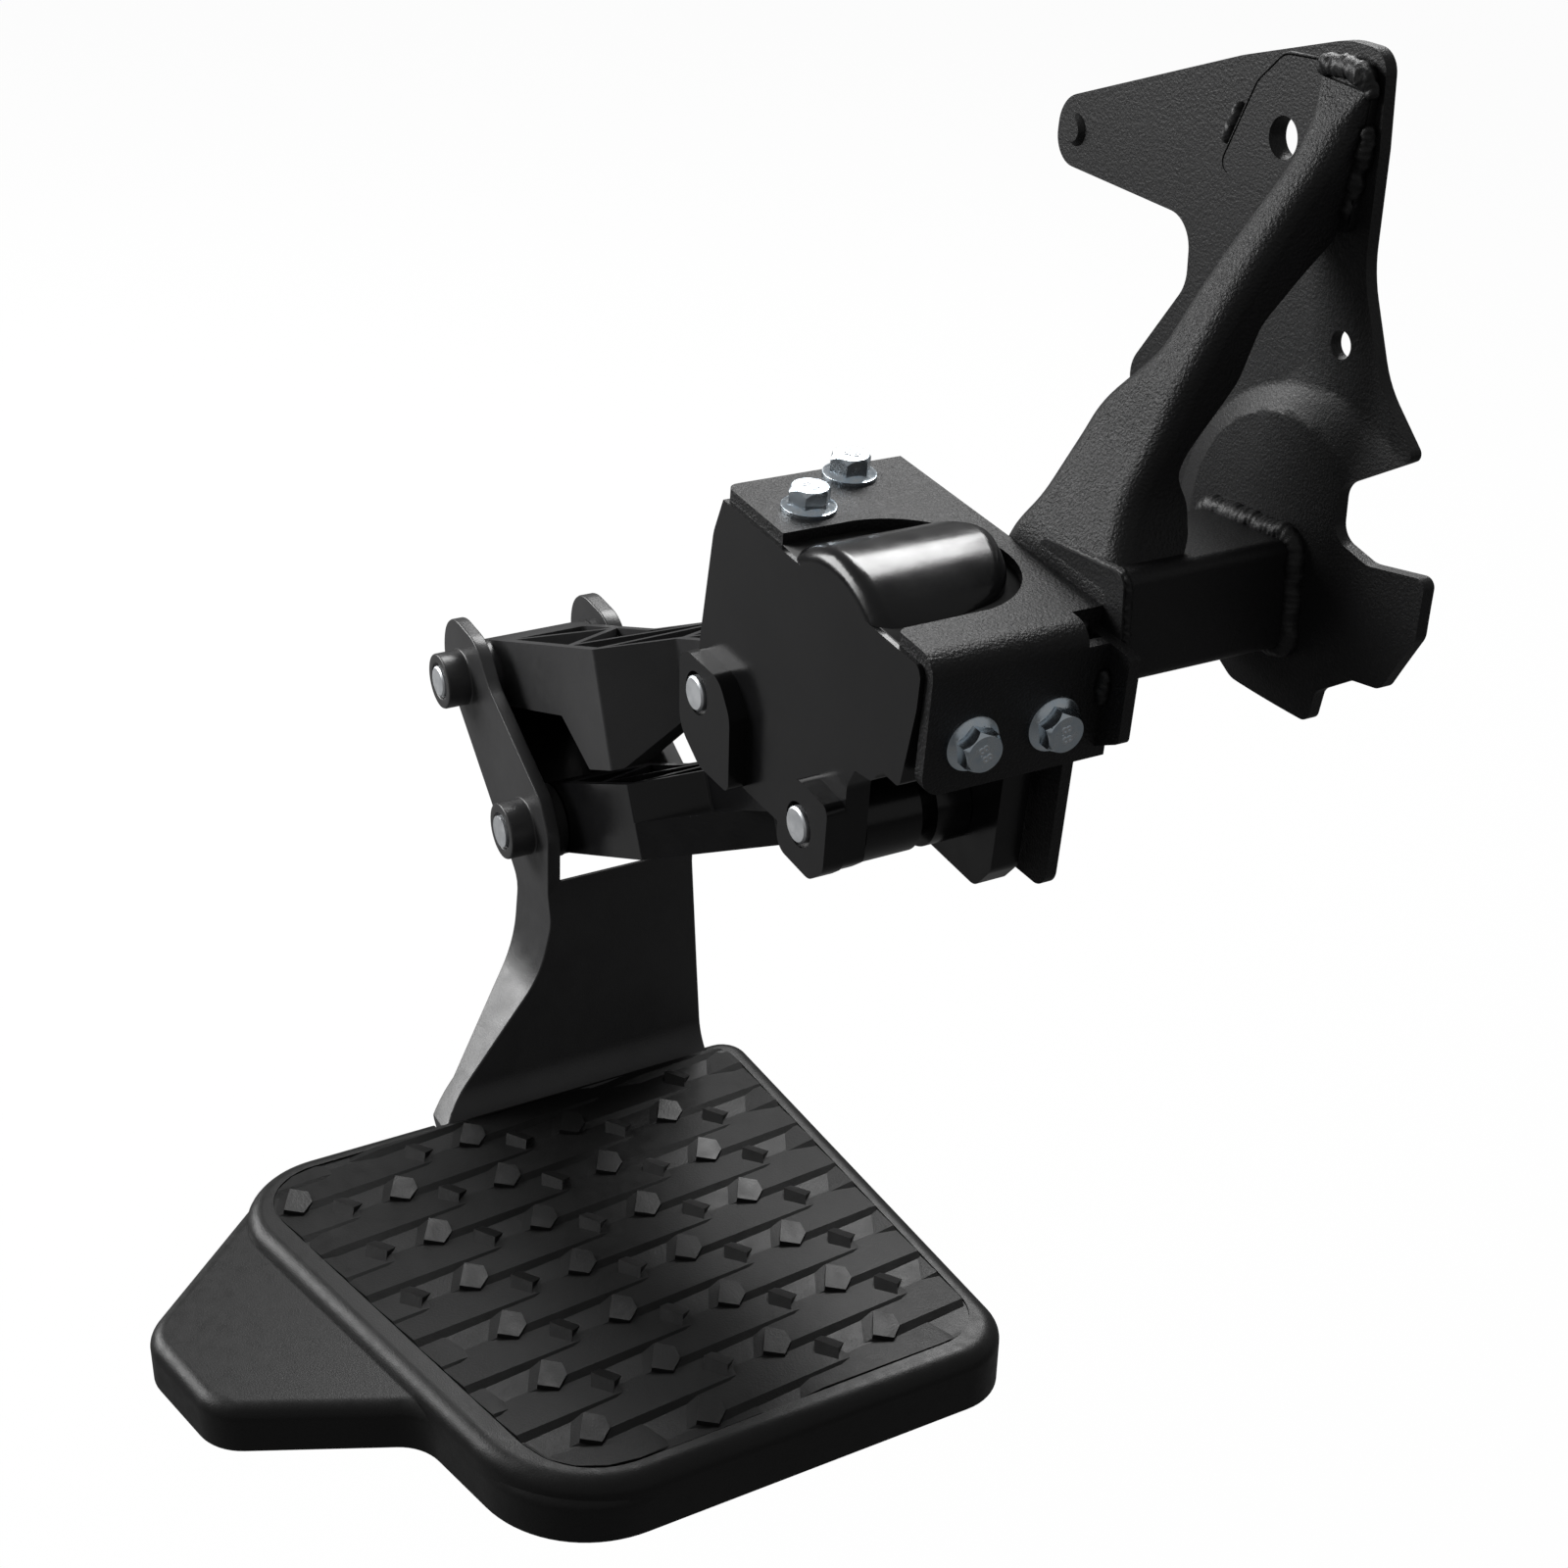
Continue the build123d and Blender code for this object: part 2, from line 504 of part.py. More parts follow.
# Lower link
u_low, v_low, LONG_LOW = link_planes(STEP_LOW, FRAME_LOW)
low_plan_top = [
    (-20, LINK_NEAR), (96, LINK_NEAR, 2), (111, H_NEAR, 3), (LONG_LOW + 22, H_NEAR), (LONG_LOW + 22, H_FAR),
    (83, H_FAR, 3), (61, LINK_FAR, 3), (-20, LINK_FAR),
]
low_plan_base = [
    (-20, LINK_NEAR), (96, LINK_NEAR, 2), (152, 17.5, 3), (LONG_LOW + 22, 17.5), (LONG_LOW + 22, H_FAR),
    (83, H_FAR, 3), (61, LINK_FAR, 3), (-20, LINK_FAR),
]
low_side = [(0, -15.8), (LONG_LOW, -17.0), (LONG_LOW, 17.0), (0, 17.4)]
lower = link_slab(STEP_LOW, FRAME_LOW, low_side, LINK_NEAR - 1, H_FAR + 1)
low_trim = link_plan(STEP_LOW, FRAME_LOW, low_plan_top, 0, 40)
low_trim += link_plan(STEP_LOW, FRAME_LOW, low_plan_base, -40, 0)
lower &= low_trim
lower += rod_y(STEP_LOW, LINK_NEAR, LINK_FAR, 17.0)
lower += rod_y(FRAME_LOW, H_NEAR, H_FAR, 20.0)
low_room = [
    (24, NEAR_IN, 3), (94, NEAR_IN, 3), (112, H_NEAR_IN + 8, 3), (LONG_LOW - 28, H_NEAR_IN + 8, 3),
    (LONG_LOW - 28, H_FAR_IN, 3), (85.5, H_FAR_IN, 3), (63.5, FAR_IN, 3), (24, FAR_IN, 3),
]
low_ribs = [
    (24, FAR_IN, 58, NEAR_IN), (58, NEAR_IN, 84, H_FAR_IN), (94, NEAR_IN, 84, H_FAR_IN),
    (84, H_FAR_IN, 118, H_NEAR_IN + 8), (118, H_NEAR_IN + 8, 150, H_FAR_IN), (150, H_FAR_IN, 180, H_NEAR_IN + 8),
]
lower -= pockets(STEP_LOW, FRAME_LOW, low_room, low_ribs, POCKET_FLOOR)
lower -= rod_y(FRAME_LOW, 34.0, 41.0, 24.0) - rod_y(FRAME_LOW, 33.0, 42.0, BUSH_R + 3)
lower -= rod_y(FRAME_LOW, -60, 80, BUSH_R)
lower -= rod_y(STEP_LOW, -60, 80, OPEN_EYE_R)
bush_frame_low = ring(FRAME_LOW, H_NEAR, H_FAR, PIN_R + RUN_FIT, BUSH_R)

# Step bracket: two ears, collars, and a web that flares outboard down to the foot
WEB_TILT = 10.6
WEB_FOOT = (-63.4, -334.7)
web_dir = (sin(radians(WEB_TILT)), -cos(radians(WEB_TILT)))
foot_dir = (cos(radians(TREAD_TILT)), sin(radians(TREAD_TILT)))


def tread_xz(along, down):
    """Point in x and z from tread coordinates: along the deck and below the pad plane."""
    return (TREAD_ORIGIN[0] + along * foot_dir[0] + down * foot_dir[1],
            TREAD_ORIGIN[1] + along * foot_dir[1] - down * foot_dir[0])


def web_xz(up, forward):
    """Point in x and z from web coordinates: up its rear face and in front of that face."""
    return (WEB_FOOT[0] - web_dir[0] * up - cos(radians(WEB_TILT)) * forward,
            WEB_FOOT[1] - web_dir[1] * up - sin(radians(WEB_TILT)) * forward)


FOOT_TOP = 8.0
FOOT_T = 8.0
FOOT_L = 176.0
ears_side = [
    (-211.0, -176.0, 24), (-204.0, -146.5, 22), (-168.0, -147.0, 20), (-152.0, -163.0, 25),
    (-92.0, -191.5, 14), (-82.5, -206.0, 14), web_xz(99, 0),
    web_xz(10, 0), web_xz(10, 10), (-103.0, -281.0, 40), (-121.5, -247.0, 40),
]
ears = slab_y(ears_side, -140, 60)
near_edge = [
    (EAR_NEAR_OUT, -130), (EAR_NEAR_OUT, -236), (EAR_NEAR_OUT + 0.6, -252, 26), (-44.0, -276.0, 60),
    (-100.5, -338.4), (-100.5, -380),
]
front_view = [(EAR_FAR_OUT, -380), (EAR_FAR_OUT, -130)] + near_edge
room_view = [
    (EAR_FAR_IN, -380), (EAR_FAR_IN, -120), (EAR_NEAR_IN, -120), (EAR_NEAR_IN, -236),
    (EAR_NEAR_IN + 0.4, -254, 30), (-38.0, -278.0, 60), (-92.5, -339.5), (-92.5, -380),
]
coupler = ears & slab_x(front_view, -260, -20)
web_front = [web_xz(99, 14.5), web_xz(60, 12.5), web_xz(0, 9.5), web_xz(-30, 9.5), (-260, -380), (-260, -120),
             (-60, -120), web_xz(130, -14), web_xz(104, 0)]
coupler -= slab_x(room_view, -260, -20) & slab_y(web_front, -140, 60)
BEND_IN = 25.0
BEND_OUT = 30.0
bend_outline = [
    web_xz(40, 0), web_xz(40, 11.0), tread_xz(-14.8, FOOT_TOP + FOOT_T) + (BEND_OUT,),
    tread_xz(48, FOOT_TOP + FOOT_T), tread_xz(48, FOOT_TOP), tread_xz(-3.8, FOOT_TOP) + (BEND_IN,),
]
coupler += slab_y(bend_outline, -100.0, EAR_FAR_OUT) & slab_x(front_view, -100, -5)
tread_plane = Plane(origin=(TREAD_ORIGIN[0], 0, TREAD_ORIGIN[1]), x_dir=(foot_dir[0], 0, foot_dir[1]),
                    z_dir=(-foot_dir[1], 0, foot_dir[0]))


def tread_slab(points, low, high):
    """Outline along the deck and y, between two heights about the pad plane."""
    plane = tread_plane.offset(low)
    return extrude(outline(points, plane), amount=high - low, dir=tread_plane.z_dir)


foot_outline = [
    (14, -98), (40, -98, 20), (FOOT_L, -62, 14), (FOOT_L, 22, 14), (50, 38.5, 20), (14, 38.5),
]
coupler += tread_slab(foot_outline, -FOOT_TOP - FOOT_T, -FOOT_TOP)
for pivot in (STEP_UP, STEP_LOW):
    coupler += rod_y(pivot, EAR_NEAR_OUT - COLLAR_H, EAR_NEAR_IN, COLLAR_R)
    coupler += rod_y(pivot, EAR_FAR_IN, EAR_FAR_OUT + 4.0, COLLAR_R)
    coupler -= rod_y(pivot, EAR_NEAR_OUT - COLLAR_H - 1, EAR_NEAR_OUT - COLLAR_H + 2.0, PIN_R + 1.2)
coupler -= rod_y(STEP_UP, -70, 60, PIN_R)
coupler -= rod_y(STEP_LOW, -70, 0, PIN_R)
coupler -= rod_y(STEP_LOW, 0, 60, SLIM_PIN_R)
FOOT_SCREWS = ((46, -48), (46, 10), (150, -40), (150, 4))
for x, y in FOOT_SCREWS:
    coupler -= tread_plane * (Pos(x, y, -FOOT_TOP - FOOT_T / 2) * Cylinder(3.3, FOOT_T + 2))

step_pin_up = plain_pin(STEP_UP, EAR_NEAR_OUT - COLLAR_H - PIN_PROUD + 0.6, EAR_FAR_OUT + 6.0, PIN_R)
step_pin_low = rod_y(STEP_LOW, EAR_NEAR_OUT - COLLAR_H - PIN_PROUD + 0.6, EAR_NEAR_IN, PIN_R)
step_pin_low += rod_y(STEP_LOW, EAR_NEAR_IN - 1, EAR_FAR_OUT + 6.0, SLIM_PIN_R)
step_rings = [
    ring(STEP_UP, EAR_FAR_OUT + 4.0, EAR_FAR_OUT + 5.2, PIN_R, PIN_R + 3.5),
    ring(STEP_LOW, EAR_FAR_OUT + 4.0, EAR_FAR_OUT + 5.2, SLIM_PIN_R, SLIM_PIN_R + 3.5),
]
washers = [
    ring(STEP_LOW, EAR_NEAR_IN, LINK_NEAR - SIDE_FIT, SLIM_PIN_R, 17.5),
    ring(STEP_LOW, LINK_FAR + SIDE_FIT, EAR_FAR_IN, SLIM_PIN_R, 17.5),
]

# Step platform, moulded, with an outboard lip lower than the pad
main_outline = [(-7, -212.3, 40), (249.5, -157, 60), (250, 58, 26), (-7, 58, 14)]
body_outline = [
    (-7, -181, 30), (72, -262, 24), (130, -250, 24), (166, -175, 22), (249.5, -157, 60), (250, 58, 26), (-7, 58, 14),
]
RIM_UP = -0.5
LIP_DOWN = 6.5
main_body = tread_slab(main_outline, -BODY_H, RIM_UP)
lip_body = tread_slab(body_outline, -BODY_H, -LIP_DOWN)


def inset(points, d):
    """Outline moved inwards by one distance."""
    moved = []
    for i in range(len(points)):
        before = Vector(*points[i - 1][:2])
        here = Vector(*points[i][:2])
        after = Vector(*points[(i + 1) % len(points)][:2])
        a = (here - before).normalized()
        b = (after - here).normalized()
        inner_a = Vector(-a.Y, a.X)
        inner_b = Vector(-b.Y, b.X)
        corner = here + (inner_a + inner_b) * (d / (1 + inner_a.dot(inner_b)))
        turn = a.X * b.Y - a.Y * b.X
        r = points[i][2] - d if turn > 0 else points[i][2] + d
        moved.append((corner.X, corner.Y, r))
    return moved


def top_edges(part, level):
    """Edges lying on one level above the deck plane."""
    picked = []
    for e in part.edges():
        local = tread_plane.to_local_coords(e.center())
        if abs(local.Z - level) < 0.05:
            picked.append(e)
    return picked


main_body = fillet(top_edges(main_body, RIM_UP), 8)
lip_body = fillet(top_edges(lip_body, -LIP_DOWN), 7)
platform = main_body + lip_body
pad_outline = [(3, -195.5, 26), (239.8, -144.3, 38), (237.2, 48.8, 22), (0.8, 48.4, 17)]
platform -= tread_slab(pad_outline, -PAD_T, RIM_UP + 2)
inside = tread_slab(inset(main_outline, BODY_WALL), -BODY_H - 1, -PAD_T - DECK_T)
inside += tread_slab(inset(body_outline, BODY_WALL), -BODY_H - 1, -LIP_DOWN - BODY_WALL - 1)
platform -= inside
rib_slabs = []
for x in (30, 75, 120, 165, 210):
    rib_slabs.append(tread_slab([(x - 1.5, -300), (x + 1.5, -300), (x + 1.5, 80), (x - 1.5, 80)],
                                -BODY_H + 4, -PAD_T - DECK_T + 1))
for y in (-215, -170, -120, -30, 15, 45):
    rib_slabs.append(tread_slab([(-20, y - 1.5), (270, y - 1.5), (270, y + 1.5), (-20, y + 1.5)],
                                -BODY_H + 4, -PAD_T - DECK_T + 1))
grow = 1.0
foot_room = tread_slab([
    (-30, -98 - grow), (40, -98 - grow, 20), (FOOT_L + grow, -62 - grow, 14), (FOOT_L + grow, 22 + grow, 14),
    (50, 38.5 + grow, 20), (-30, 38.5 + grow),
], -FOOT_TOP - FOOT_T - grow, -FOOT_TOP + 0.0)
web_room = tread_slab([(-30, -103), (22, -103), (22, 38.5 + grow), (-30, 38.5 + grow)], -FOOT_TOP - FOOT_T - grow, 30)
for rib in rib_slabs:
    platform += (rib & inside) - foot_room - web_room
platform -= foot_room
platform -= web_room & tread_slab([(-30, -103), (0.0, -103), (0.0, 39.5), (-30, 39.5)], -BODY_H - 2, 30)
platform -= tread_slab([(-1, -103), (21.5, -103), (21.5, 39.5), (-1, 39.5)], -FOOT_TOP - FOOT_T - grow, -PAD_T)
for x, y in FOOT_SCREWS:
    platform -= tread_plane * (Pos(x, y, -PAD_T - DECK_T / 2) * Cylinder(2.4, DECK_T + 2))
    platform -= tread_plane * (Pos(x, y, -BODY_H / 2 - 8) * Cylinder(9, BODY_H - 16))
platform -= coupler
platform = platform.solids().sort_by(SortBy.VOLUME)[-1]

# Tread pad with its raised pattern
pad = tread_slab(pad_outline, -PAD_T + 0.0, 0.0)
pad -= tread_slab([(-2, -103), (3, -103), (3, 39.5), (-2, 39.5)], -PAD_T - 1, 1)
pad -= coupler
pad = pad.solids().sort_by(SortBy.VOLUME)[-1]
STUD_H = 2.4


def stud(x, y):
    shape = [(-5.5, -4), (3.5, -5), (7, 0), (3.5, 5), (-5.5, 4)]
    return tread_slab([(x + a, y + b) for a, b in shape], -0.2, STUD_H)


studs = []
for row in range(8):
    for col in range(7):
        x = 24 + row * 27
        y = -158 + col * 31 + (row % 2) * 15.5
        edge = pad_outline[0][1] + (x - 3) * 0.216
        if y > 38 or y < edge + 12 or (x > 200 and y < edge + 26):
            continue
        studs.append(stud(x, y))
for one in studs:
    pad += one
for x, y in FOOT_SCREWS:
    pad -= tread_plane * (Pos(x, y, -PAD_T) * Cylinder(2.4, 4.4))

foot_screws = []
for x, y in FOOT_SCREWS:
    screw = Pos(x, y, -FOOT_TOP - FOOT_T - 2) * Cylinder(6, 4)
    screw += Pos(x, y, -FOOT_TOP - FOOT_T / 2 - 0.5) * Cylinder(3.3, FOOT_T + 1)
    screw += Pos(x, y, -FOOT_TOP + 2.2) * Cylinder(2.4, 6)
    foot_screws.append(tread_plane * screw)

ORIGIN = (MAIN_HOLE[0], PLATE_IN, MAIN_HOLE[1])
nodes = {
    "frame_plate": plate,
    "doubler_plate": doubler,
    "plate_plug": plug,
    "gusset_arm": arm,
    "cross_tube": tube,
    "tube_plate_weld": plate_bead,
    "tube_bracket_weld": bracket_bead,
    "gusset_welds": arm_beads,
    "doubler_weld": doubler_bead,
    "hinge_bracket": bracket,
    "flange_weld": flange_dab,
    "hinge_housing": housing,
    "top_bolts": top_bolts,
    "rear_bolts": rear_bolts,
    "frame_pin_upper": frame_pin_up,
    "frame_pin_lower": frame_pin_low,
    "frame_pin_rings": frame_rings,
    "upper_link": upper,
    "upper_link_frame_bush": bush_frame_up,
    "upper_link_step_bush": bush_step_up,
    "lower_link": lower,
    "lower_link_frame_bush": bush_frame_low,
    "step_bracket": coupler,
    "step_pin_upper": step_pin_up,
    "step_pin_lower": step_pin_low,
    "step_pin_rings": step_rings,
    "thrust_washers": washers,
    "step_platform": platform,
    "tread_pad": pad,
    "foot_screws": foot_screws,
}
for name, shape in nodes.items():
    solids = []
    for piece in shape if isinstance(shape, list) else [shape]:
        solids += list(piece.solids())
    moved = [Pos(-ORIGIN[0], -ORIGIN[1], -ORIGIN[2]) * s for s in solids]
    whole = moved[0] if len(moved) == 1 else Compound(children=moved)
    export_step(whole, f"parts/{name}.step")
    print(name, len(moved), round(sum(s.volume for s in moved)))
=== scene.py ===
import json
import math

import bmesh
import bpy
from mathutils import Matrix, Vector, noise


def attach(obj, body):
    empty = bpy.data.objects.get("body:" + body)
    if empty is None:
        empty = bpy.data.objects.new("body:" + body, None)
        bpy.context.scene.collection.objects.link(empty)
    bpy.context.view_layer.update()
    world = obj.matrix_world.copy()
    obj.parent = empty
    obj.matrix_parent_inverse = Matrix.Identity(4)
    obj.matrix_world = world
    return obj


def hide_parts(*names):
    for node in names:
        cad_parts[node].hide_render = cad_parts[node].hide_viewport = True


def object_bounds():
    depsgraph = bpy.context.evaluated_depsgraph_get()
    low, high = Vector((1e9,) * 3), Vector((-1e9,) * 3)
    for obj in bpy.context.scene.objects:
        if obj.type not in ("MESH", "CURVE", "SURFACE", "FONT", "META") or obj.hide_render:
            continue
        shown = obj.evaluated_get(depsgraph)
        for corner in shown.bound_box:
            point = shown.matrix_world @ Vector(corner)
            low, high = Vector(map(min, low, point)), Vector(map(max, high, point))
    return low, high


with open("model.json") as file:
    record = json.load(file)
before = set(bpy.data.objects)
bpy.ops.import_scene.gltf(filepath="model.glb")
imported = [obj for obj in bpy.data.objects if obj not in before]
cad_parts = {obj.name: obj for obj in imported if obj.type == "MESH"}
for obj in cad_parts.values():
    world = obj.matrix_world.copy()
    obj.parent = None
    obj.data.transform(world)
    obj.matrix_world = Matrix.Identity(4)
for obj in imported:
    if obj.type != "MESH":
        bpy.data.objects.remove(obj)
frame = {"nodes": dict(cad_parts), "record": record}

box_low, box_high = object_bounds()

scene = bpy.context.scene
nodes = frame["nodes"]


# Camera, fitted to corners of the object in the photograph
CAMERA_AZ = math.radians(58.849)
CAMERA_EL = math.radians(31.538)
CAMERA_ROLL = math.radians(4.316)
CAMERA_PLACE = Vector((0.631318, -0.576803, 0.226762))
SENSOR = 36.0
FOCAL_PIXELS = 2373.478
IMAGE_SIDE = 1600


def add_camera():
    back = Vector((math.sin(CAMERA_AZ) * math.cos(CAMERA_EL),
                   -math.cos(CAMERA_AZ) * math.cos(CAMERA_EL), math.sin(CAMERA_EL)))
    right = Vector((math.cos(CAMERA_AZ), math.sin(CAMERA_AZ), 0.0))
    up = back.cross(right)
    right_rolled = math.cos(CAMERA_ROLL) * right + math.sin(CAMERA_ROLL) * up
    up_rolled = back.cross(right_rolled)
    turn = Matrix((right_rolled, up_rolled, back)).transposed().to_4x4()
    camera = bpy.data.objects.new("camera", bpy.data.cameras.new("camera"))
    camera.data.sensor_width = SENSOR
    camera.data.lens = FOCAL_PIXELS * SENSOR / IMAGE_SIDE
    camera.data.clip_start = 0.01
    camera.data.clip_end = 50.0
    camera.matrix_world = Matrix.Translation(CAMERA_PLACE) @ turn
    scene.collection.objects.link(camera)
    return camera


scene.camera = add_camera()
scene.view_settings.view_transform = "Standard"


# Node helpers for materials
class Graph:
    """Short names for the nodes of one material."""

    def __init__(self, name):
        self.material = bpy.data.materials.new(name)
        self.material.use_nodes = True
        self.tree = self.material.node_tree
        self.shader = self.tree.nodes["Principled BSDF"]
        self.coords = self.tree.nodes.new("ShaderNodeTexCoord").outputs["Object"]

    def noise(self, scale, detail=2.0, rough=0.5):
        made = self.tree.nodes.new("ShaderNodeTexNoise")
        made.inputs["Scale"].default_value = scale
        made.inputs["Detail"].default_value = detail
        made.inputs["Roughness"].default_value = rough
        self.tree.links.new(self.coords, made.inputs["Vector"])
        return made.outputs["Fac"]

    def ramp(self, value, low, high, out_low=0.0, out_high=1.0):
        made = self.tree.nodes.new("ShaderNodeMapRange")
        made.inputs["From Min"].default_value = low
        made.inputs["From Max"].default_value = high
        made.inputs["To Min"].default_value = out_low
        made.inputs["To Max"].default_value = out_high
        self.tree.links.new(value, made.inputs["Value"])
        return made.outputs["Result"]

    def colours(self, value, a, b):
        made = self.tree.nodes.new("ShaderNodeMix")
        made.data_type = "RGBA"
        self.tree.links.new(value, made.inputs["Factor"])
        made.inputs["A"].default_value = (*a, 1.0)
        made.inputs["B"].default_value = (*b, 1.0)
        return made.outputs["Result"]

    def drift(self, scale, a, b, spread=0.15):
        """Two shades that drift into each other."""
        return self.colours(self.ramp(self.noise(scale, 3.0), 0.5 - spread, 0.5 + spread), a, b)

    def sheen(self, value, low, high):
        """Roughness that wanders between two levels."""
        return self.ramp(value, 0.3, 0.7, low, high)

    def bump(self, height, strength, distance):
        made = self.tree.nodes.new("ShaderNodeBump")
        made.inputs["Strength"].default_value = strength
        made.inputs["Distance"].default_value = distance
        self.tree.links.new(height, made.inputs["Height"])
        return made.outputs["Normal"]

    def set(self, **values):
        for key, value in values.items():
            socket = self.shader.inputs[key.replace("_", " ")]
            if isinstance(value, float):
                socket.default_value = value
            else:
                self.tree.links.new(value, socket)


def grey(level, blue=0.0):
    """Neutral shade, or one with a little more blue."""
    return (level, level, level + blue)


def textured_coat(name="textured_coat", relief=0.36):
    """Black powder coat with a fine pebbled grain."""
    g = Graph(name)
    g.set(Base_Color=g.drift(14.0, grey(0.007, 0.0005), grey(0.010, 0.0005)),
          Roughness=g.sheen(g.noise(1300.0), 0.40, 0.54), Specular_IOR_Level=0.45,
          Normal=g.bump(g.noise(880.0, 2.5, 0.6), relief, 0.0008))
    return g.material


def cast_coat():
    """Smooth semi-gloss black on castings."""
    g = Graph("cast_coat")
    g.set(Base_Color=g.drift(22.0, grey(0.006, 0.0005), grey(0.009, 0.0005)),
          Roughness=g.sheen(g.noise(90.0, 3.0), 0.18, 0.25), Specular_IOR_Level=0.5,
          Normal=g.bump(g.noise(420.0, 3.0, 0.55), 0.10, 0.0003))
    return g.material


def satin_with_painted_light():
    """Satin speckled grey-black of the upper link and the step bracket, its lighter grey a painted
    highlight for the light and sheen they catch.
    """
    g = Graph("satin_with_painted_light")
    g.set(Base_Color=g.drift(18.0, grey(0.038, 0.001), grey(0.050, 0.001)),
          Roughness=g.sheen(g.noise(120.0), 0.28, 0.38), Specular_IOR_Level=0.55,
          Normal=g.bump(g.noise(1600.0, 2.0, 0.6), 0.22, 0.0003))
    return g.material


def zinc():
    """Blue-white zinc plate."""
    g = Graph("zinc")
    mottle = g.noise(260.0, 4.0, 0.6)
    g.set(Base_Color=g.colours(g.ramp(mottle, 0.3, 0.7), (0.74, 0.86, 0.97), (0.90, 0.96, 1.0)),
          Roughness=g.sheen(mottle, 0.18, 0.30), Metallic=1.0,
          Normal=g.bump(g.noise(900.0), 0.05, 0.0002))
    return g.material


def pin_steel():
    """Bright turned steel."""
    g = Graph("pin_steel")
    mottle = g.noise(200.0, 3.0, 0.6)
    g.set(Base_Color=g.colours(mottle, (0.84, 0.88, 0.92), (0.96, 0.97, 0.98)),
          Roughness=g.sheen(mottle, 0.42, 0.52), Metallic=1.0,
          Normal=g.bump(g.noise(700.0), 0.05, 0.0002))
    return g.material


def bush_plastic():
    """Dull black plastic of the bushes, also used on the housing's flat top."""
    g = Graph("bush_plastic")
    g.set(Base_Color=g.colours(g.noise(60.0), grey(0.016), grey(0.026)), Roughness=0.5,
          Normal=g.bump(g.noise(600.0), 0.08, 0.0002))
    return g.material


def platform_plastic():
    """Fine-grained black moulding."""
    g = Graph("platform_plastic")
    g.set(Base_Color=g.drift(10.0, grey(0.008), grey(0.011)),
          Roughness=g.sheen(g.noise(200.0), 0.36, 0.46), Specular_IOR_Level=0.36,
          Normal=g.bump(g.noise(1500.0, 2.0, 0.6), 0.30, 0.0003))
    return g.material


def tread_rubber():
    """Matte rubber."""
    g = Graph("tread_rubber")
    g.set(Base_Color=g.drift(26.0, grey(0.006), grey(0.010), 0.2),
          Roughness=g.sheen(g.noise(150.0), 0.36, 0.44), Specular_IOR_Level=0.27,
          Normal=g.bump(g.noise(900.0, 3.0, 0.6), 0.22, 0.0004))
    return g.material


def painted_edge_shade():
    """Near-black colour for the painted shade along the doubler plate's rim."""
    g = Graph("painted_edge_shade")
    g.set(Base_Color=g.colours(g.noise(200.0), grey(0.001), grey(0.002)),
          Roughness=0.9, Specular_IOR_Level=0.05)
    return g.material


looks = {
    "textured_coat": textured_coat(),
    "coarse_coat": textured_coat("coarse_coat", 0.85),
    "cast_coat": cast_coat(),
    # Lighter coat: painted light and sheen on the upper link and step bracket
    "satin_with_painted_light": satin_with_painted_light(),
    "zinc": zinc(),
    "pin_steel": pin_steel(),
    "bush_plastic": bush_plastic(),
    "platform_plastic": platform_plastic(),
    "tread_rubber": tread_rubber(),
    "painted_edge_shade": painted_edge_shade(),
}


# Looks of the carried-over solids: the record's slots, apart from three pieces. The upper link and the
# step bracket get a lighter coat, painted light for the light and sheen they catch, while the other
# castings keep their darker slot look
OTHER_LOOK = {"upper_link": "satin_with_painted_light", "step_bracket": "satin_with_painted_light", "hinge_bracket": "coarse_coat"}
slot_of = {part["node"]: part["material_slot"] for part in frame["record"]["subparts"]}
for name, piece in nodes.items():
    piece.data.materials.clear()
    piece.data.materials.append(looks[OTHER_LOOK.get(name, slot_of[name])])


# Places in the drawing, in millimetres about the front top corner of the hinge bracket
MM = 0.001
DRAWING_ORIGIN = Vector((102.6, 170.0, 152.6))
PLATE_OUT = 165.0
DOUBLER_OUT = 162.0
BRACKET_L = 155.1
BRACKET_W = 80.4
SHEET = 5.0


def place(x, y, z):
    """Place in the scene, in metres from the main bolt hole, of a place in the drawing."""
    return (Vector((x, y, z)) - DRAWING_ORIGIN) * MM


# Helpers for meshes
FINE_EDGE = 0.00035


def shade_smooth(mesh):
    for polygon in mesh.polygons:
        polygon.use_smooth = True


def round_edges(piece, width=FINE_EDGE, angle=25):
    """Small rounded edges, evenly shaded."""
    bevel = piece.modifiers.new("edges", "BEVEL")
    bevel.width = width
    bevel.segments = 2
    bevel.limit_method = "ANGLE"
    bevel.angle_limit = math.radians(angle)
    normals = piece.modifiers.new("shading", "WEIGHTED_NORMAL")
    normals.keep_sharp = False


def add_piece(name, mesh, slot, body, replaced=(), look=None):
    """Piece that rides on a body, in its slot's look unless another is given."""
    piece = bpy.data.objects.new(name, mesh)
    scene.collection.objects.link(piece)
    mesh.materials.append(looks[look or slot])
    shade_smooth(mesh)
    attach(piece, body)
    if replaced:
        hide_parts(*replaced)
    return piece


def mesh_from(name, bm):
    bmesh.ops.recalc_face_normals(bm, faces=bm.faces[:])
    mesh = bpy.data.meshes.new(name)
    bm.to_mesh(mesh)
    bm.free()
    return mesh


def skin(bm, rings, closed=False):
    """Faces between neighbouring rings of the same length, and ends where the chain is open."""
    pairs = list(zip(rings, rings[1:]))
    if closed:
        pairs.append((rings[-1], rings[0]))
    for a, b in pairs:
        for k in range(len(a)):
            after = (k + 1) % len(a)
            bm.faces.new((a[k], a[after], b[after], b[k]))
    if not closed:
        bm.faces.new(rings[0])
        bm.faces.new(rings[-1])


def solid_between(bm, low_points, high_points):
    """Closed prism from two rings of the same length."""
    skin(bm, [[bm.verts.new(p) for p in points] for points in (low_points, high_points)])


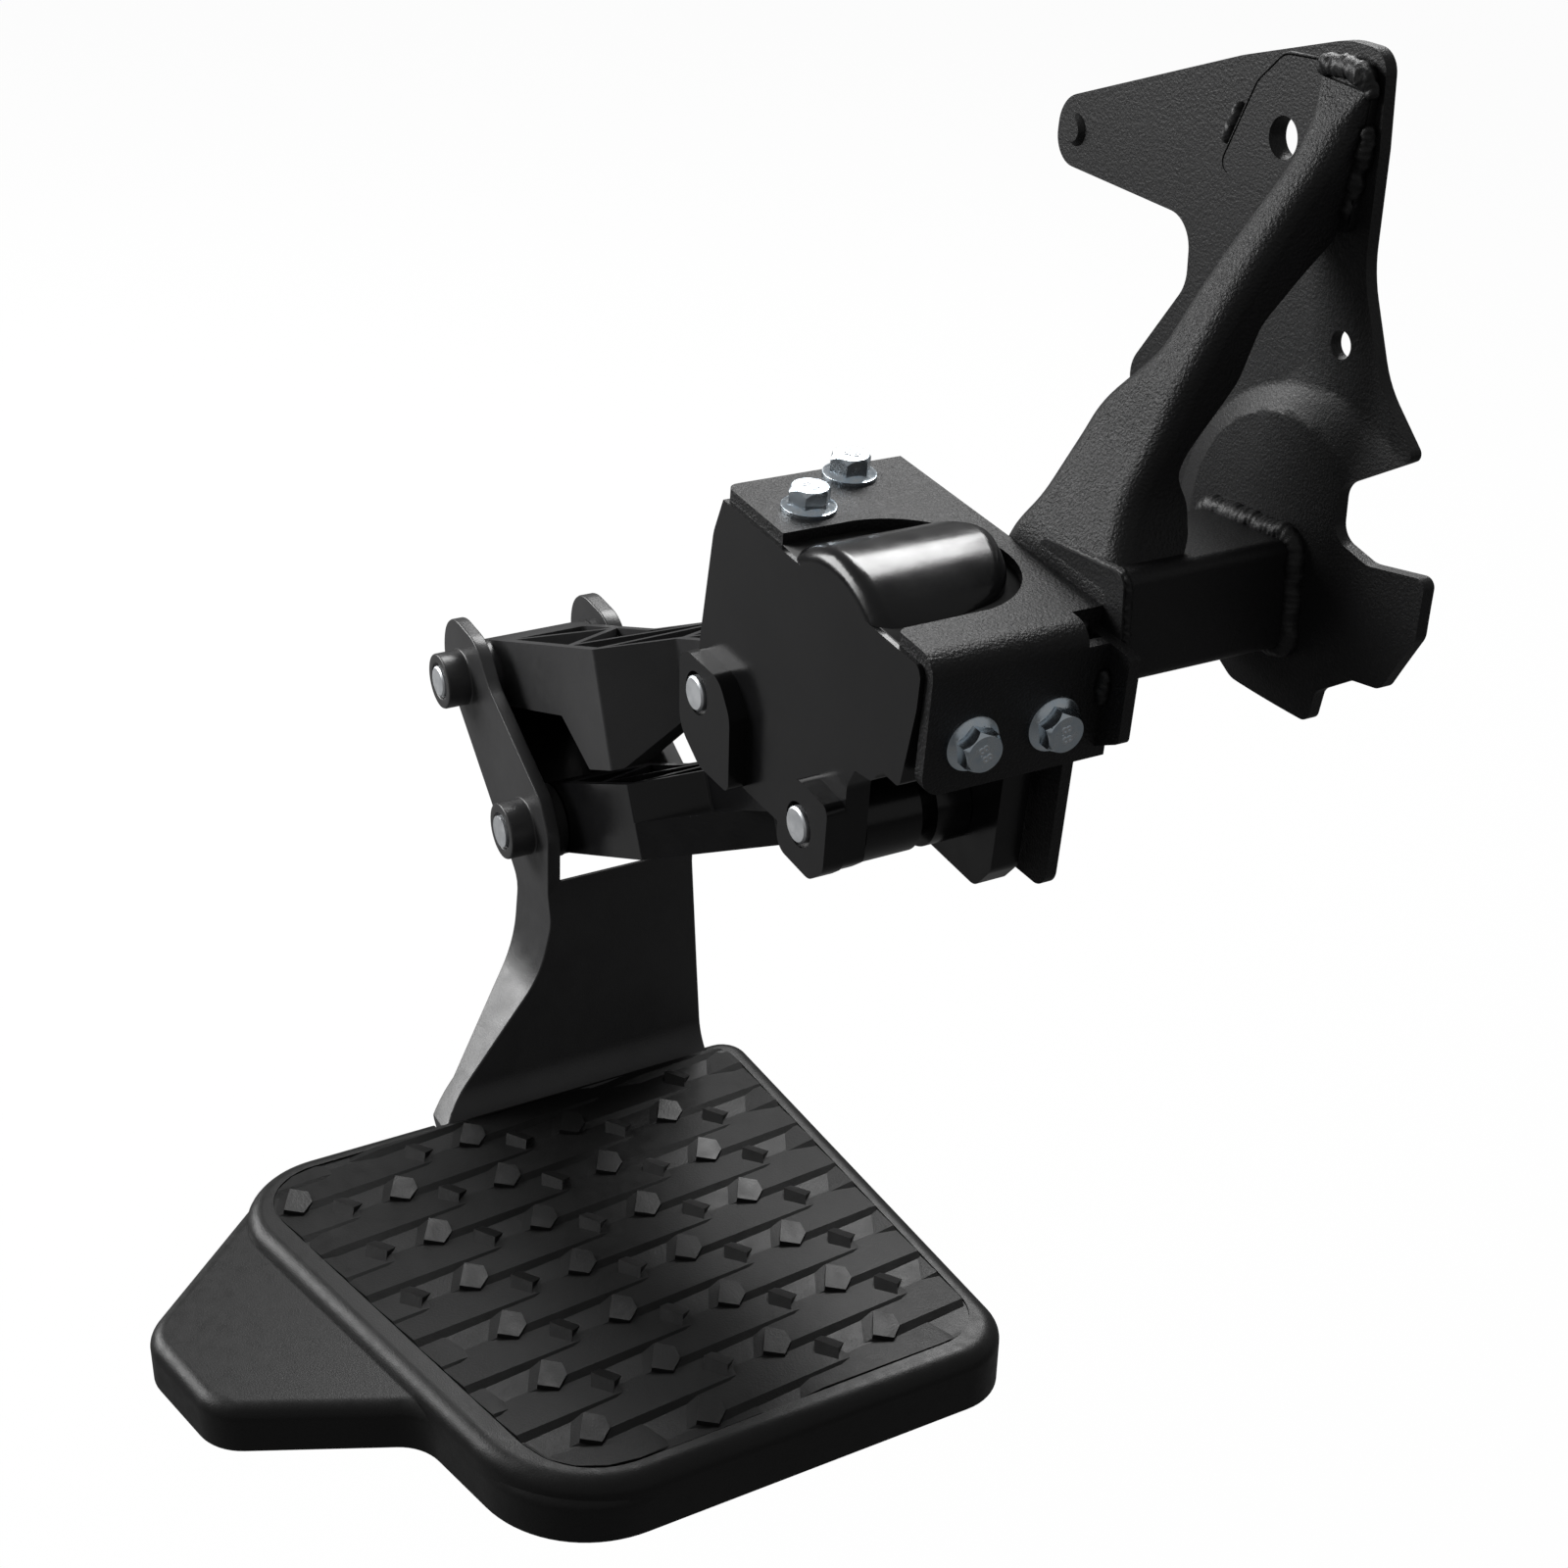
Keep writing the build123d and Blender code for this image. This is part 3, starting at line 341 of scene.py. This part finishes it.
def rounded(points, steps=8):
    """Closed outline with arcs; the third number of a point is its corner radius."""
    count = len(points)
    path = []
    for i in range(count):
        before = Vector(points[i - 1][:2])
        here = Vector(points[i][:2])
        after = Vector(points[(i + 1) % count][:2])
        radius = points[i][2]
        if radius == 0:
            path.append(here)
            continue
        a = (before - here).normalized()
        b = (after - here).normalized()
        half = a.angle(b) / 2
        middle = here + (a + b).normalized() * (radius / math.sin(half))
        start = here + a * (radius / math.tan(half)) - middle
        end = here + b * (radius / math.tan(half)) - middle
        span = start.angle(end)
        for k in range(steps + 1):
            t = k / steps
            mixed = start * math.sin((1 - t) * span) + end * math.sin(t * span)
            path.append(middle + mixed / math.sin(span))
    return path


def stepped(points, step):
    """Points at about even steps along a chain of straight runs."""
    path = []
    for a, b in zip(points, points[1:]):
        count = max(1, round((b - a).length / step))
        path += [a.lerp(b, k / count) for k in range(count)]
    path.append(points[-1])
    return path


# Tread pad with its ridges, studs and wedges
TREAD_TILT = math.radians(5.0)
TREAD_AT = (-58.4, -334.3)
PAD_BASE = -1.3
PAD_BOTTOM = -4.0
PAD_CORNERS = [(3.0, -195.5, 26), (239.8, -144.3, 38), (237.2, 48.8, 22), (0.8, 48.4, 8)]
PAD_NOTCH = [(0.9, 39.5, 0), (5.0, 39.5, 1.5), (5.0, -103.0, 1.5), (2.1, -103.0, 0)]
STUD_AT = Vector((63.3, -44.0))
STUD_ALONG = Vector((35.6, 2.2))
STUD_ACROSS = Vector((-12.2, -44.8))
WEDGE_FROM_STUD = Vector((2.9, -29.5))
SINK = 0.4
RIDGE_H = 2.0
RIDGE_END_H = 1.2
STUD_H = 1.7
STUD_FALL = 0.18
STUD_FLARE = 1.06
WEDGE_H = 3.4
FIELD_START = 14
FIELD_END = 231
FIELD_LEFT = -187
FIELD_SLANT = 0.22
FIELD_RIGHT = 40
RIDGES_ALONG = (-30, 275)
RIDGES_ACROSS = (-250, 60)
ROWS = range(-4, 9)
COLUMNS = range(-4, 6)
RIM_MARGIN = 0.6


def on_tread(along, across, height):
    return place(TREAD_AT[0] + along * math.cos(TREAD_TILT) - height * math.sin(TREAD_TILT), across,
                 TREAD_AT[1] + along * math.sin(TREAD_TILT) + height * math.cos(TREAD_TILT))


def wedge(bm, at, base, start, end):
    """Low wedge on a six-sided base sunk into the pad, its crest from start to end."""
    ring = [bm.verts.new((at.x + x, at.y + y, PAD_BASE - SINK)) for x, y in base]
    a, b = [bm.verts.new((at.x + x, at.y + y, PAD_BASE + height)) for x, y, height in (start, end)]
    bm.faces.new(list(reversed(ring)))
    bm.faces.new((ring[0], ring[1], b, a))
    bm.faces.new((ring[1], ring[2], b))
    bm.faces.new((ring[2], ring[3], b))
    bm.faces.new((ring[3], ring[4], a, b))
    bm.faces.new((ring[4], ring[5], a))
    bm.faces.new((ring[5], ring[0], a))


def add_ridge(bm, at):
    """Long wedge: a steep flank towards the rear and a slow slope towards the front."""
    base = [(7.4, 1.0), (1.3, 59.5), (-3.5, 69.0), (-28.0, 60.0), (-23.0, -2.0), (3.2, -15.0)]
    wedge(bm, at, base, (2.6, 2.5, RIDGE_H), (-2.2, 61.0, RIDGE_END_H))


def add_wedge(bm, at):
    """Small wedge, its steeper face towards the rear."""
    base = [(7.6, 1.2), (-1.2, -4.8), (-8.0, -1.4), (-12.5, 5.5), (-4.5, 11.0), (1.4, 4.6)]
    wedge(bm, at, base, (1.4, 4.6, WEDGE_H), (-8.0, -1.4, WEDGE_H))


def add_stud(bm, at):
    """Five-sided stud with its top tipped to the rear."""
    shape = [(-8.0, -1.0), (-3.3, 5.8), (2.8, 5.4), (7.6, -0.2), (2.8, -7.6)]
    low = [(at.x + x * STUD_FLARE, at.y + y * STUD_FLARE, PAD_BASE - SINK) for x, y in shape]
    high = [(at.x + x, at.y + y, STUD_H - STUD_FALL * x) for x, y in shape]
    solid_between(bm, low, high)


def in_field(at):
    """Whether a stud or wedge here stands whole on the pad."""
    left_edge = FIELD_LEFT + FIELD_SLANT * at.x
    return FIELD_START < at.x < FIELD_END and left_edge < at.y < FIELD_RIGHT


def reaches_pad(at):
    """Whether a ridge from here can touch the pad."""
    along = RIDGES_ALONG[0] < at.x < RIDGES_ALONG[1]
    return along and RIDGES_ACROSS[0] < at.y < RIDGES_ACROSS[1]


def clip_to_pad(bm, margin):
    """Cut what lies past the pad's edge, and close the cuts."""
    rim = rounded(PAD_CORNERS, 4)
    for here, after in zip(rim, rim[1:] + rim[:1]):
        run = after - here
        if run.length < 1e-6:
            continue
        outward = Vector((run.y, -run.x, 0.0)).normalized()
        at = Vector((*here, 0.0)) - outward * margin
        geometry = bm.verts[:] + bm.edges[:] + bm.faces[:]
        cut = bmesh.ops.bisect_plane(bm, geom=geometry, dist=1e-4, plane_co=at, plane_no=outward,
                                     clear_outer=True)
        edges = [e for e in cut["geom_cut"] if isinstance(e, bmesh.types.BMEdge) and e.is_boundary]
        bmesh.ops.holes_fill(bm, edges=edges, sides=0)


def tread_pattern():
    bm = bmesh.new()
    for i in ROWS:
        for j in COLUMNS:
            at = STUD_AT + STUD_ALONG * i + STUD_ACROSS * j
            if not reaches_pad(at):
                continue
            add_ridge(bm, at)
            if in_field(at):
                add_stud(bm, at)
            if in_field(at + WEDGE_FROM_STUD):
                add_wedge(bm, at + WEDGE_FROM_STUD)
    bmesh.ops.recalc_face_normals(bm, faces=bm.faces[:])
    clip_to_pad(bm, RIM_MARGIN)
    return bm


def tread_mesh():
    bm = tread_pattern()
    rim = rounded(PAD_CORNERS + PAD_NOTCH)
    solid_between(bm, [(p.x, p.y, PAD_BOTTOM) for p in rim], [(p.x, p.y, PAD_BASE) for p in rim])
    for vertex in bm.verts:
        vertex.co = on_tread(*vertex.co)
    return mesh_from("tread", bm)


tread = add_piece("tread", tread_mesh(), "tread_rubber", "step", ("tread_pad",))
round_edges(tread)


# Weld beads
BEAD_SIDES = 16
BEAD_STEP = 0.0006
BEAD_PITCH = 2.4
TUBE_AT = (128.1, -9.0)
TUBE_SIZE = (52.8, 43.1)
TUBE_CORNER = 6
TUBE_TURN = math.radians(8.5)
GUSSET_TOP = ((115.5, DOUBLER_OUT, 181.2), (121.0, DOUBLER_OUT - 0.6, 183.6),
              (131.0, DOUBLER_OUT - 0.8, 184.8), (139.0, DOUBLER_OUT - 0.6, 183.5),
              (143.2, DOUBLER_OUT, 177.0))
GUSSET_SIDE = ((143.4, DOUBLER_OUT + 0.8, 168.5), (143.3, DOUBLER_OUT + 0.8, 157.0),
               (141.6, DOUBLER_OUT + 1.2, 145.5), (140.0, DOUBLER_OUT + 1.5, 134.5))
DOUBLER_SIDE = ((75.2, PLATE_OUT - 0.6, 157.5), (72.6, PLATE_OUT - 0.4, 149.7),
                (69.3, PLATE_OUT - 0.4, 141.5))
FLANGE_EDGE = ((BRACKET_L + 1.6, BRACKET_W - 6.6, -18.0), (BRACKET_L + 1.9, BRACKET_W - 6.4, -25.0),
               (BRACKET_L + 1.6, BRACKET_W - 6.6, -32.0))


def bead_mesh(name, path, radius, pitch, closed, seed, rough):
    """Round bead along a path, uneven in width and place, with faint ripples."""
    bm = bmesh.new()
    rings = []
    count = len(path)
    travelled = 0.0
    for i, here in enumerate(path):
        ahead = path[(i + 1) % count] if closed or i + 1 < count else here
        behind = path[i - 1] if closed or i else here
        tangent = (ahead - behind).normalized()
        side = tangent.cross(Vector((0.0, 1.0, 0.0)))
        if side.length < 0.2:
            side = tangent.cross(Vector((0.0, 0.0, 1.0)))
        side.normalize()
        lift = tangent.cross(side)
        if i:
            travelled += (here - path[i - 1]).length
        drift = Vector((seed, 0.0, travelled / (2.2 * radius)))
        ripple = 0.05 * abs(math.cos(math.pi * travelled / pitch)) ** 4
        scale = 1.0 + 0.55 * rough * noise.noise(drift) - ripple
        here = here + side * (radius * 0.6 * rough * noise.noise(drift + Vector((9.0, 0.0, 0.0))))
        taper = 1.0 if closed else min(1.0, 0.35 + 0.65 * math.sqrt(min(i, count - 1 - i) / 6.0))
        ring = []
        for k in range(BEAD_SIDES):
            angle = 2 * math.pi * k / BEAD_SIDES
            around = Vector((math.cos(angle), math.sin(angle), 0.0)) * 0.9
            wobble = noise.noise(here / (radius * 0.9) + around + Vector((seed, 0.0, 0.0))) * rough
            wobble += noise.noise(here / (radius * 0.4) + around * 2.0) * 0.22 * rough
            r = radius * (scale + wobble) * taper
            ring.append(bm.verts.new(here + side * (r * math.cos(angle)) + lift * (r * math.sin(angle))))
        rings.append(ring)
    skin(bm, rings, closed)
    return mesh_from(name, bm)


def tube_ring(y, grow):
    """Closed path round the cross tube."""
    half_x = TUBE_SIZE[0] / 2 + grow
    half_z = TUBE_SIZE[1] / 2 + grow
    corners = [(-half_x, -half_z), (half_x, -half_z), (half_x, half_z), (-half_x, half_z)]
    loop = []
    for p in rounded([(*corner, TUBE_CORNER) for corner in corners], 6):
        x = TUBE_AT[0] + p.x * math.cos(TUBE_TURN) - p.y * math.sin(TUBE_TURN)
        z = TUBE_AT[1] + p.x * math.sin(TUBE_TURN) + p.y * math.cos(TUBE_TURN)
        loop.append(place(x, y, z))
    return stepped(loop + loop[:1], BEAD_STEP)[:-1]


def open_path(points):
    return stepped([place(*p) for p in points], BEAD_STEP)


def add_bead(name, path, radius, seed, replaced=(), rough=0.34, closed=False):
    mesh = bead_mesh(name, path, radius * MM, BEAD_PITCH * MM, closed, seed, rough)
    return add_piece(name, mesh, "textured_coat", "frame", replaced)


add_bead("tube_plate_bead", tube_ring(PLATE_OUT - 5.6, 0.4), 4.7, 1.0, ("tube_plate_weld",), 0.24,
         closed=True)
add_bead("tube_bracket_bead", tube_ring(BRACKET_W + 2.6, -0.4), 1.7, 2.0, ("tube_bracket_weld",),
         closed=True)
add_bead("gusset_top_bead", open_path(GUSSET_TOP), 3.9, 3.0, ("gusset_welds",), 0.38)
add_bead("gusset_side_bead", open_path(GUSSET_SIDE), 3.2, 4.0)
add_bead("doubler_bead", open_path(DOUBLER_SIDE), 2.9, 5.0, ("doubler_weld",), 0.40)
add_bead("flange_bead", open_path(FLANGE_EDGE), 2.7, 6.0, ("flange_weld",), 0.35)


# Painted shade: a near-black line round the rim of the doubler plate, apart from its lower edge,
# standing in for the shade along that edge
SHADE_LINE_RADIUS = 0.35
SHADE_LINE_STEP = 0.002
SHADE_LINE_END = 4
DOUBLER_EDGE = [(70.4, 132.3, 4), (84.0, 168.0, 10), (95.8, 180.7, 8), (136.2, 186.2, 5),
                (141.6, 177.8, 8), (143.6, 130.8, 4)]
doubler_run = stepped([place(p.x, DOUBLER_OUT + 0.1, p.y) for p in rounded(DOUBLER_EDGE, 6)], SHADE_LINE_STEP)
painted_shade_mesh = bead_mesh("doubler_painted_shade", doubler_run[:-SHADE_LINE_END], SHADE_LINE_RADIUS * MM, MM, False, 8.0, 0.0)
# Painted shade: near-black line laid on the doubler's rim
add_piece("doubler_painted_shade", painted_shade_mesh, "textured_coat", "frame", look="painted_edge_shade")


# Gusset arm with rounded folds: each table gives height and place
ARM_WALL = 4.5
ARM_FOLD = 8.0
ARM_LOW = -11.5
ARM_HIGH = 179.0
ARM_RINGS = 77
ARM_FACE = ((-12.0, BRACKET_W + 0.1), (-1.0, BRACKET_W + 0.1), (3.0, BRACKET_W - 0.6), (8.0, BRACKET_W),
            (17.0, BRACKET_W + 3.8), (48.5, BRACKET_W + 17.3), (76.7, BRACKET_W + 26.3),
            (106.0, BRACKET_W + 40.0), (177.0, 158.5), (181.0, DOUBLER_OUT))
ARM_FREE = ((-12.0, BRACKET_W + 0.5), (-3.0, BRACKET_W + 10.6), (4.0, BRACKET_W + 24.4),
            (19.0, BRACKET_W + 37.0), (31.0, BRACKET_W + 38.0), (42.0, BRACKET_W + 32.0),
            (50.0, BRACKET_W + 33.4), (59.0, BRACKET_W + 38.5), (77.0, BRACKET_W + 50.6),
            (97.9, BRACKET_W + 56.1), (115.4, 151.0), (127.0, DOUBLER_OUT), (181.0, DOUBLER_OUT))
ARM_LEFT = ((-12.0, 69.0), (19.0, 85.6), (57.4, 93.0), (81.8, 111.4), (119.4, 116.5), (152.0, 123.0),
            (163.0, 121.8), (185.0, 116.4))
ARM_RIGHT = ((-12.0, 152.0), (4.0, 150.0), (15.0, 142.0), (26.0, 135.5), (38.0, 133.0), (60.0, 135.5),
             (100.0, 137.0), (132.0, 138.5), (156.0, 142.0), (185.0, 142.5))


def along_table(table, height, ease):
    """Value at a height on a chain of straight runs, averaged over a stretch that eases its corners."""
    shares = [k / 4 for k in range(-4, 5)]
    total = 0.0
    for share in shares:
        at = min(max(height + ease * share, table[0][0]), table[-1][0])
        for (low, a), (high, b) in zip(table, table[1:]):
            if at <= high:
                total += a + (b - a) * (at - low) / (high - low)
                break
    return total / len(shares)


def arm_section(z):
    """Channel at a height: closed towards the bracket, its free edges towards the plate."""
    face = along_table(ARM_FACE, z, ease=5.0)
    free = along_table(ARM_FREE, z, ease=3.0)
    left = along_table(ARM_LEFT, z, ease=6.0)
    right = along_table(ARM_RIGHT, z, ease=8.0)
    deep = max(free - face, 0.2)
    fold = min(ARM_FOLD, 0.92 * deep)
    inner = min(face + ARM_WALL * 1.1, free - 0.05 * deep)
    inner_fold = max(0.03, min(ARM_FOLD - ARM_WALL, 0.9 * (free - inner)))
    corners = [(left, free, 0), (left, face, fold), (right, face, fold), (right, free, 0),
               (right - ARM_WALL, free, 0), (right - ARM_WALL, inner, inner_fold),
               (left + ARM_WALL, inner, inner_fold), (left + ARM_WALL, free, 0)]
    return [place(p.x, p.y, z) for p in rounded(corners, 6)]


def arm_mesh():
    bm = bmesh.new()
    rings = []
    for i in range(ARM_RINGS):
        z = ARM_LOW + (ARM_HIGH - ARM_LOW) * i / (ARM_RINGS - 1)
        rings.append([bm.verts.new(p) for p in arm_section(z)])
    skin(bm, rings)
    return mesh_from("arm", bm)


arm = add_piece("arm", arm_mesh(), "textured_coat", "frame", ("gusset_arm",), "coarse_coat")
round_edges(arm, 0.0006, 35)


# Web between the ears of the step bracket, under the upper pin
EAR_IN = 30.5
EAR_BITE = 1.0
WEB_START = Vector((-187.5, -194.7))
WEB_END = Vector((-134.0, -237.1))
WEB_T = 3.5


def ear_web_mesh():
    bm = bmesh.new()
    run = WEB_END - WEB_START
    lift = Vector((-run.y, run.x)).normalized() * WEB_T
    shape = [WEB_START, WEB_END, WEB_END + lift, WEB_START + lift]
    reach = EAR_IN + EAR_BITE
    solid_between(bm, [place(p.x, -reach, p.y) for p in shape], [place(p.x, reach, p.y) for p in shape])
    return mesh_from("ear_web", bm)


ear_web = add_piece("ear_web", ear_web_mesh(), "cast_coat", "step")
round_edges(ear_web, 0.0008)


# Top of the housing round the bulge, seen through the gaps of the cut-out
SHELF_START = (44.0, 0.2)
SHELF_END = (BRACKET_L - 10.0, BRACKET_W - 7.0)
SHELF_CORNER = 2
SHELF_TOP = -SHEET + 0.2
SHELF_T = 2.0


def shelf_mesh():
    bm = bmesh.new()
    (x0, y0), (x1, y1) = SHELF_START, SHELF_END
    corners = [(x0, y0), (x1, y0), (x1, y1), (x0, y1)]
    shape = rounded([(*corner, SHELF_CORNER) for corner in corners], 4)
    solid_between(bm, [place(p.x, p.y, SHELF_TOP - SHELF_T) for p in shape],
                  [place(p.x, p.y, SHELF_TOP) for p in shape])
    return mesh_from("housing_shelf", bm)


add_piece("housing_shelf", shelf_mesh(), "cast_coat", "frame", look="bush_plastic")


# Strength marks on the bolt heads: place on the head and reading direction
MARK_SIZE = 6.0
MARK_RISE = 0.30
MARK_EDGE = 0.05
HEAD_TOP = 9.5
REAR_MARKS = (((19.2, -36.5), (0, 0.45, -0.89)), ((54.2, -36.4), (0, 0.2, -0.98)))
TOP_MARKS = (((30.4, 20.2), (0.9, 0.43, 0)), ((9.4, 50.7), (0.75, 0.66, 0)))


def mark_mesh(name, turned):
    """Raised number as a mesh, turned and placed by a matrix."""
    words = bpy.data.curves.new(name, "FONT")
    words.body = "8.8"
    words.size = MARK_SIZE * MM
    words.align_x = "CENTER"
    words.align_y = "CENTER"
    words.extrude = MARK_RISE * MM
    words.bevel_depth = MARK_EDGE * MM
    holder = bpy.data.objects.new(name, words)
    scene.collection.objects.link(holder)
    bpy.context.view_layer.update()
    mesh = bpy.data.meshes.new_from_object(holder.evaluated_get(bpy.context.evaluated_depsgraph_get()))
    mesh.transform(turned)
    mesh.materials.clear()
    bpy.data.objects.remove(holder)
    bm = bmesh.new()
    bm.from_mesh(mesh)
    bmesh.ops.remove_doubles(bm, verts=bm.verts[:], dist=1e-7)
    bm.to_mesh(mesh)
    bm.free()
    return mesh


def head_mark(name, centre, reading, outward):
    """Number on a bolt head, reading along one direction."""
    along = Vector(reading).normalized()
    normal = Vector(outward)
    turn = Matrix((along, normal.cross(along), normal)).transposed().to_4x4()
    mesh = mark_mesh(name, Matrix.Translation(place(*centre)) @ turn)
    return add_piece(name, mesh, "zinc", "frame", look="pin_steel")


for i, ((y, z), reading) in enumerate(REAR_MARKS, 1):
    head_mark(f"rear_bolt_mark_{i}", (BRACKET_L + HEAD_TOP, y, z), reading, (1, 0, 0))
for i, ((x, y), reading) in enumerate(TOP_MARKS, 1):
    head_mark(f"top_bolt_mark_{i}", (x, y, HEAD_TOP), reading, (0, 0, 1))


# Small rounded edges on the carried-over solids
JOIN_WITHIN = 0.00002
EDGE = {"frame_plate": 0.0009, "hinge_bracket": 0.0009, "hinge_housing": 0.0012, "upper_link": 0.0010,
        "lower_link": 0.0009, "step_bracket": 0.0009, "step_platform": 0.0006}
for name, piece in nodes.items():
    weld = piece.modifiers.new("join", "WELD")
    weld.merge_threshold = JOIN_WITHIN
    round_edges(piece, EDGE.get(name, FINE_EDGE), 32)
    shade_smooth(piece.data)


# Floor: glows white to the camera, dim to what it lights and in reflections
FLOOR_GAP = 0.30
FLOOR_SIDE = 30.0
FLOOR_SHADE = 0.12
FLOOR_SHADE_SEEN = 0.85
GLOW_SEEN = 0.965
GLOW_MIRRORED = 0.015


def floor_material():
    material = bpy.data.materials.new("floor")
    material.use_nodes = True
    tree = material.node_tree
    tree.nodes.clear()
    link = tree.links.new
    path = tree.nodes.new("ShaderNodeLightPath")
    shade = tree.nodes.new("ShaderNodeMix")
    shade.data_type = "RGBA"
    shade.inputs["A"].default_value = (FLOOR_SHADE, FLOOR_SHADE, FLOOR_SHADE, 1.0)
    shade.inputs["B"].default_value = (FLOOR_SHADE_SEEN, FLOOR_SHADE_SEEN, FLOOR_SHADE_SEEN, 1.0)
    link(path.outputs["Is Camera Ray"], shade.inputs["Factor"])
    diffuse = tree.nodes.new("ShaderNodeBsdfDiffuse")
    link(shade.outputs["Result"], diffuse.inputs["Color"])
    glow = tree.nodes.new("ShaderNodeEmission")
    glow.inputs["Strength"].default_value = 1.0
    seen = tree.nodes.new("ShaderNodeMath")
    seen.operation = "MULTIPLY"
    seen.inputs[1].default_value = GLOW_SEEN
    link(path.outputs["Is Camera Ray"], seen.inputs[0])
    mirrored = tree.nodes.new("ShaderNodeMath")
    mirrored.operation = "MULTIPLY_ADD"
    mirrored.inputs[1].default_value = GLOW_MIRRORED
    link(path.outputs["Is Glossy Ray"], mirrored.inputs[0])
    link(seen.outputs[0], mirrored.inputs[2])
    mix = tree.nodes.new("ShaderNodeMixShader")
    link(mirrored.outputs[0], mix.inputs[0])
    link(diffuse.outputs[0], mix.inputs[1])
    link(glow.outputs[0], mix.inputs[2])
    out = tree.nodes.new("ShaderNodeOutputMaterial")
    link(mix.outputs[0], out.inputs["Surface"])
    return material


bpy.ops.mesh.primitive_plane_add(size=FLOOR_SIDE, location=(-0.1, 0.0, box_low.z - FLOOR_GAP))
floor = bpy.context.object
floor.name = "floor"
floor.data.materials.append(floor_material())


# Backdrop: white to the camera, a low even level to the object
WORLD_LEVEL = 0.20


def white_world():
    world = bpy.data.worlds.new("world")
    world.use_nodes = True
    tree = world.node_tree
    background = tree.nodes["Background"]
    background.inputs["Color"].default_value = (1.0, 1.0, 1.0, 1.0)
    path = tree.nodes.new("ShaderNodeLightPath")
    strength = tree.nodes.new("ShaderNodeMapRange")
    strength.inputs["To Min"].default_value = WORLD_LEVEL
    strength.inputs["To Max"].default_value = 1.0
    tree.links.new(path.outputs["Is Camera Ray"], strength.inputs["Value"])
    tree.links.new(strength.outputs["Result"], background.inputs["Strength"])
    return world


scene.world = white_world()


# Lights
MIDDLE = Vector((-0.12, -0.15, -0.20))


def softbox(name, at, width, height, watts):
    """Rectangular lamp aimed at the middle of the object."""
    light = bpy.data.lights.new(name, "AREA")
    light.shape = "RECTANGLE"
    light.size = width
    light.size_y = height
    light.energy = watts
    holder = bpy.data.objects.new(name, light)
    holder.location = at
    holder.rotation_mode = "QUATERNION"
    holder.rotation_quaternion = (MIDDLE - Vector(at)).to_track_quat("-Z", "Y")
    scene.collection.objects.link(holder)


softbox("key", (-1.52, 0.86, 1.48), 1.1, 1.1, 50.0)
softbox("side", (-1.80, -1.60, 0.50), 1.6, 1.1, 54.0)
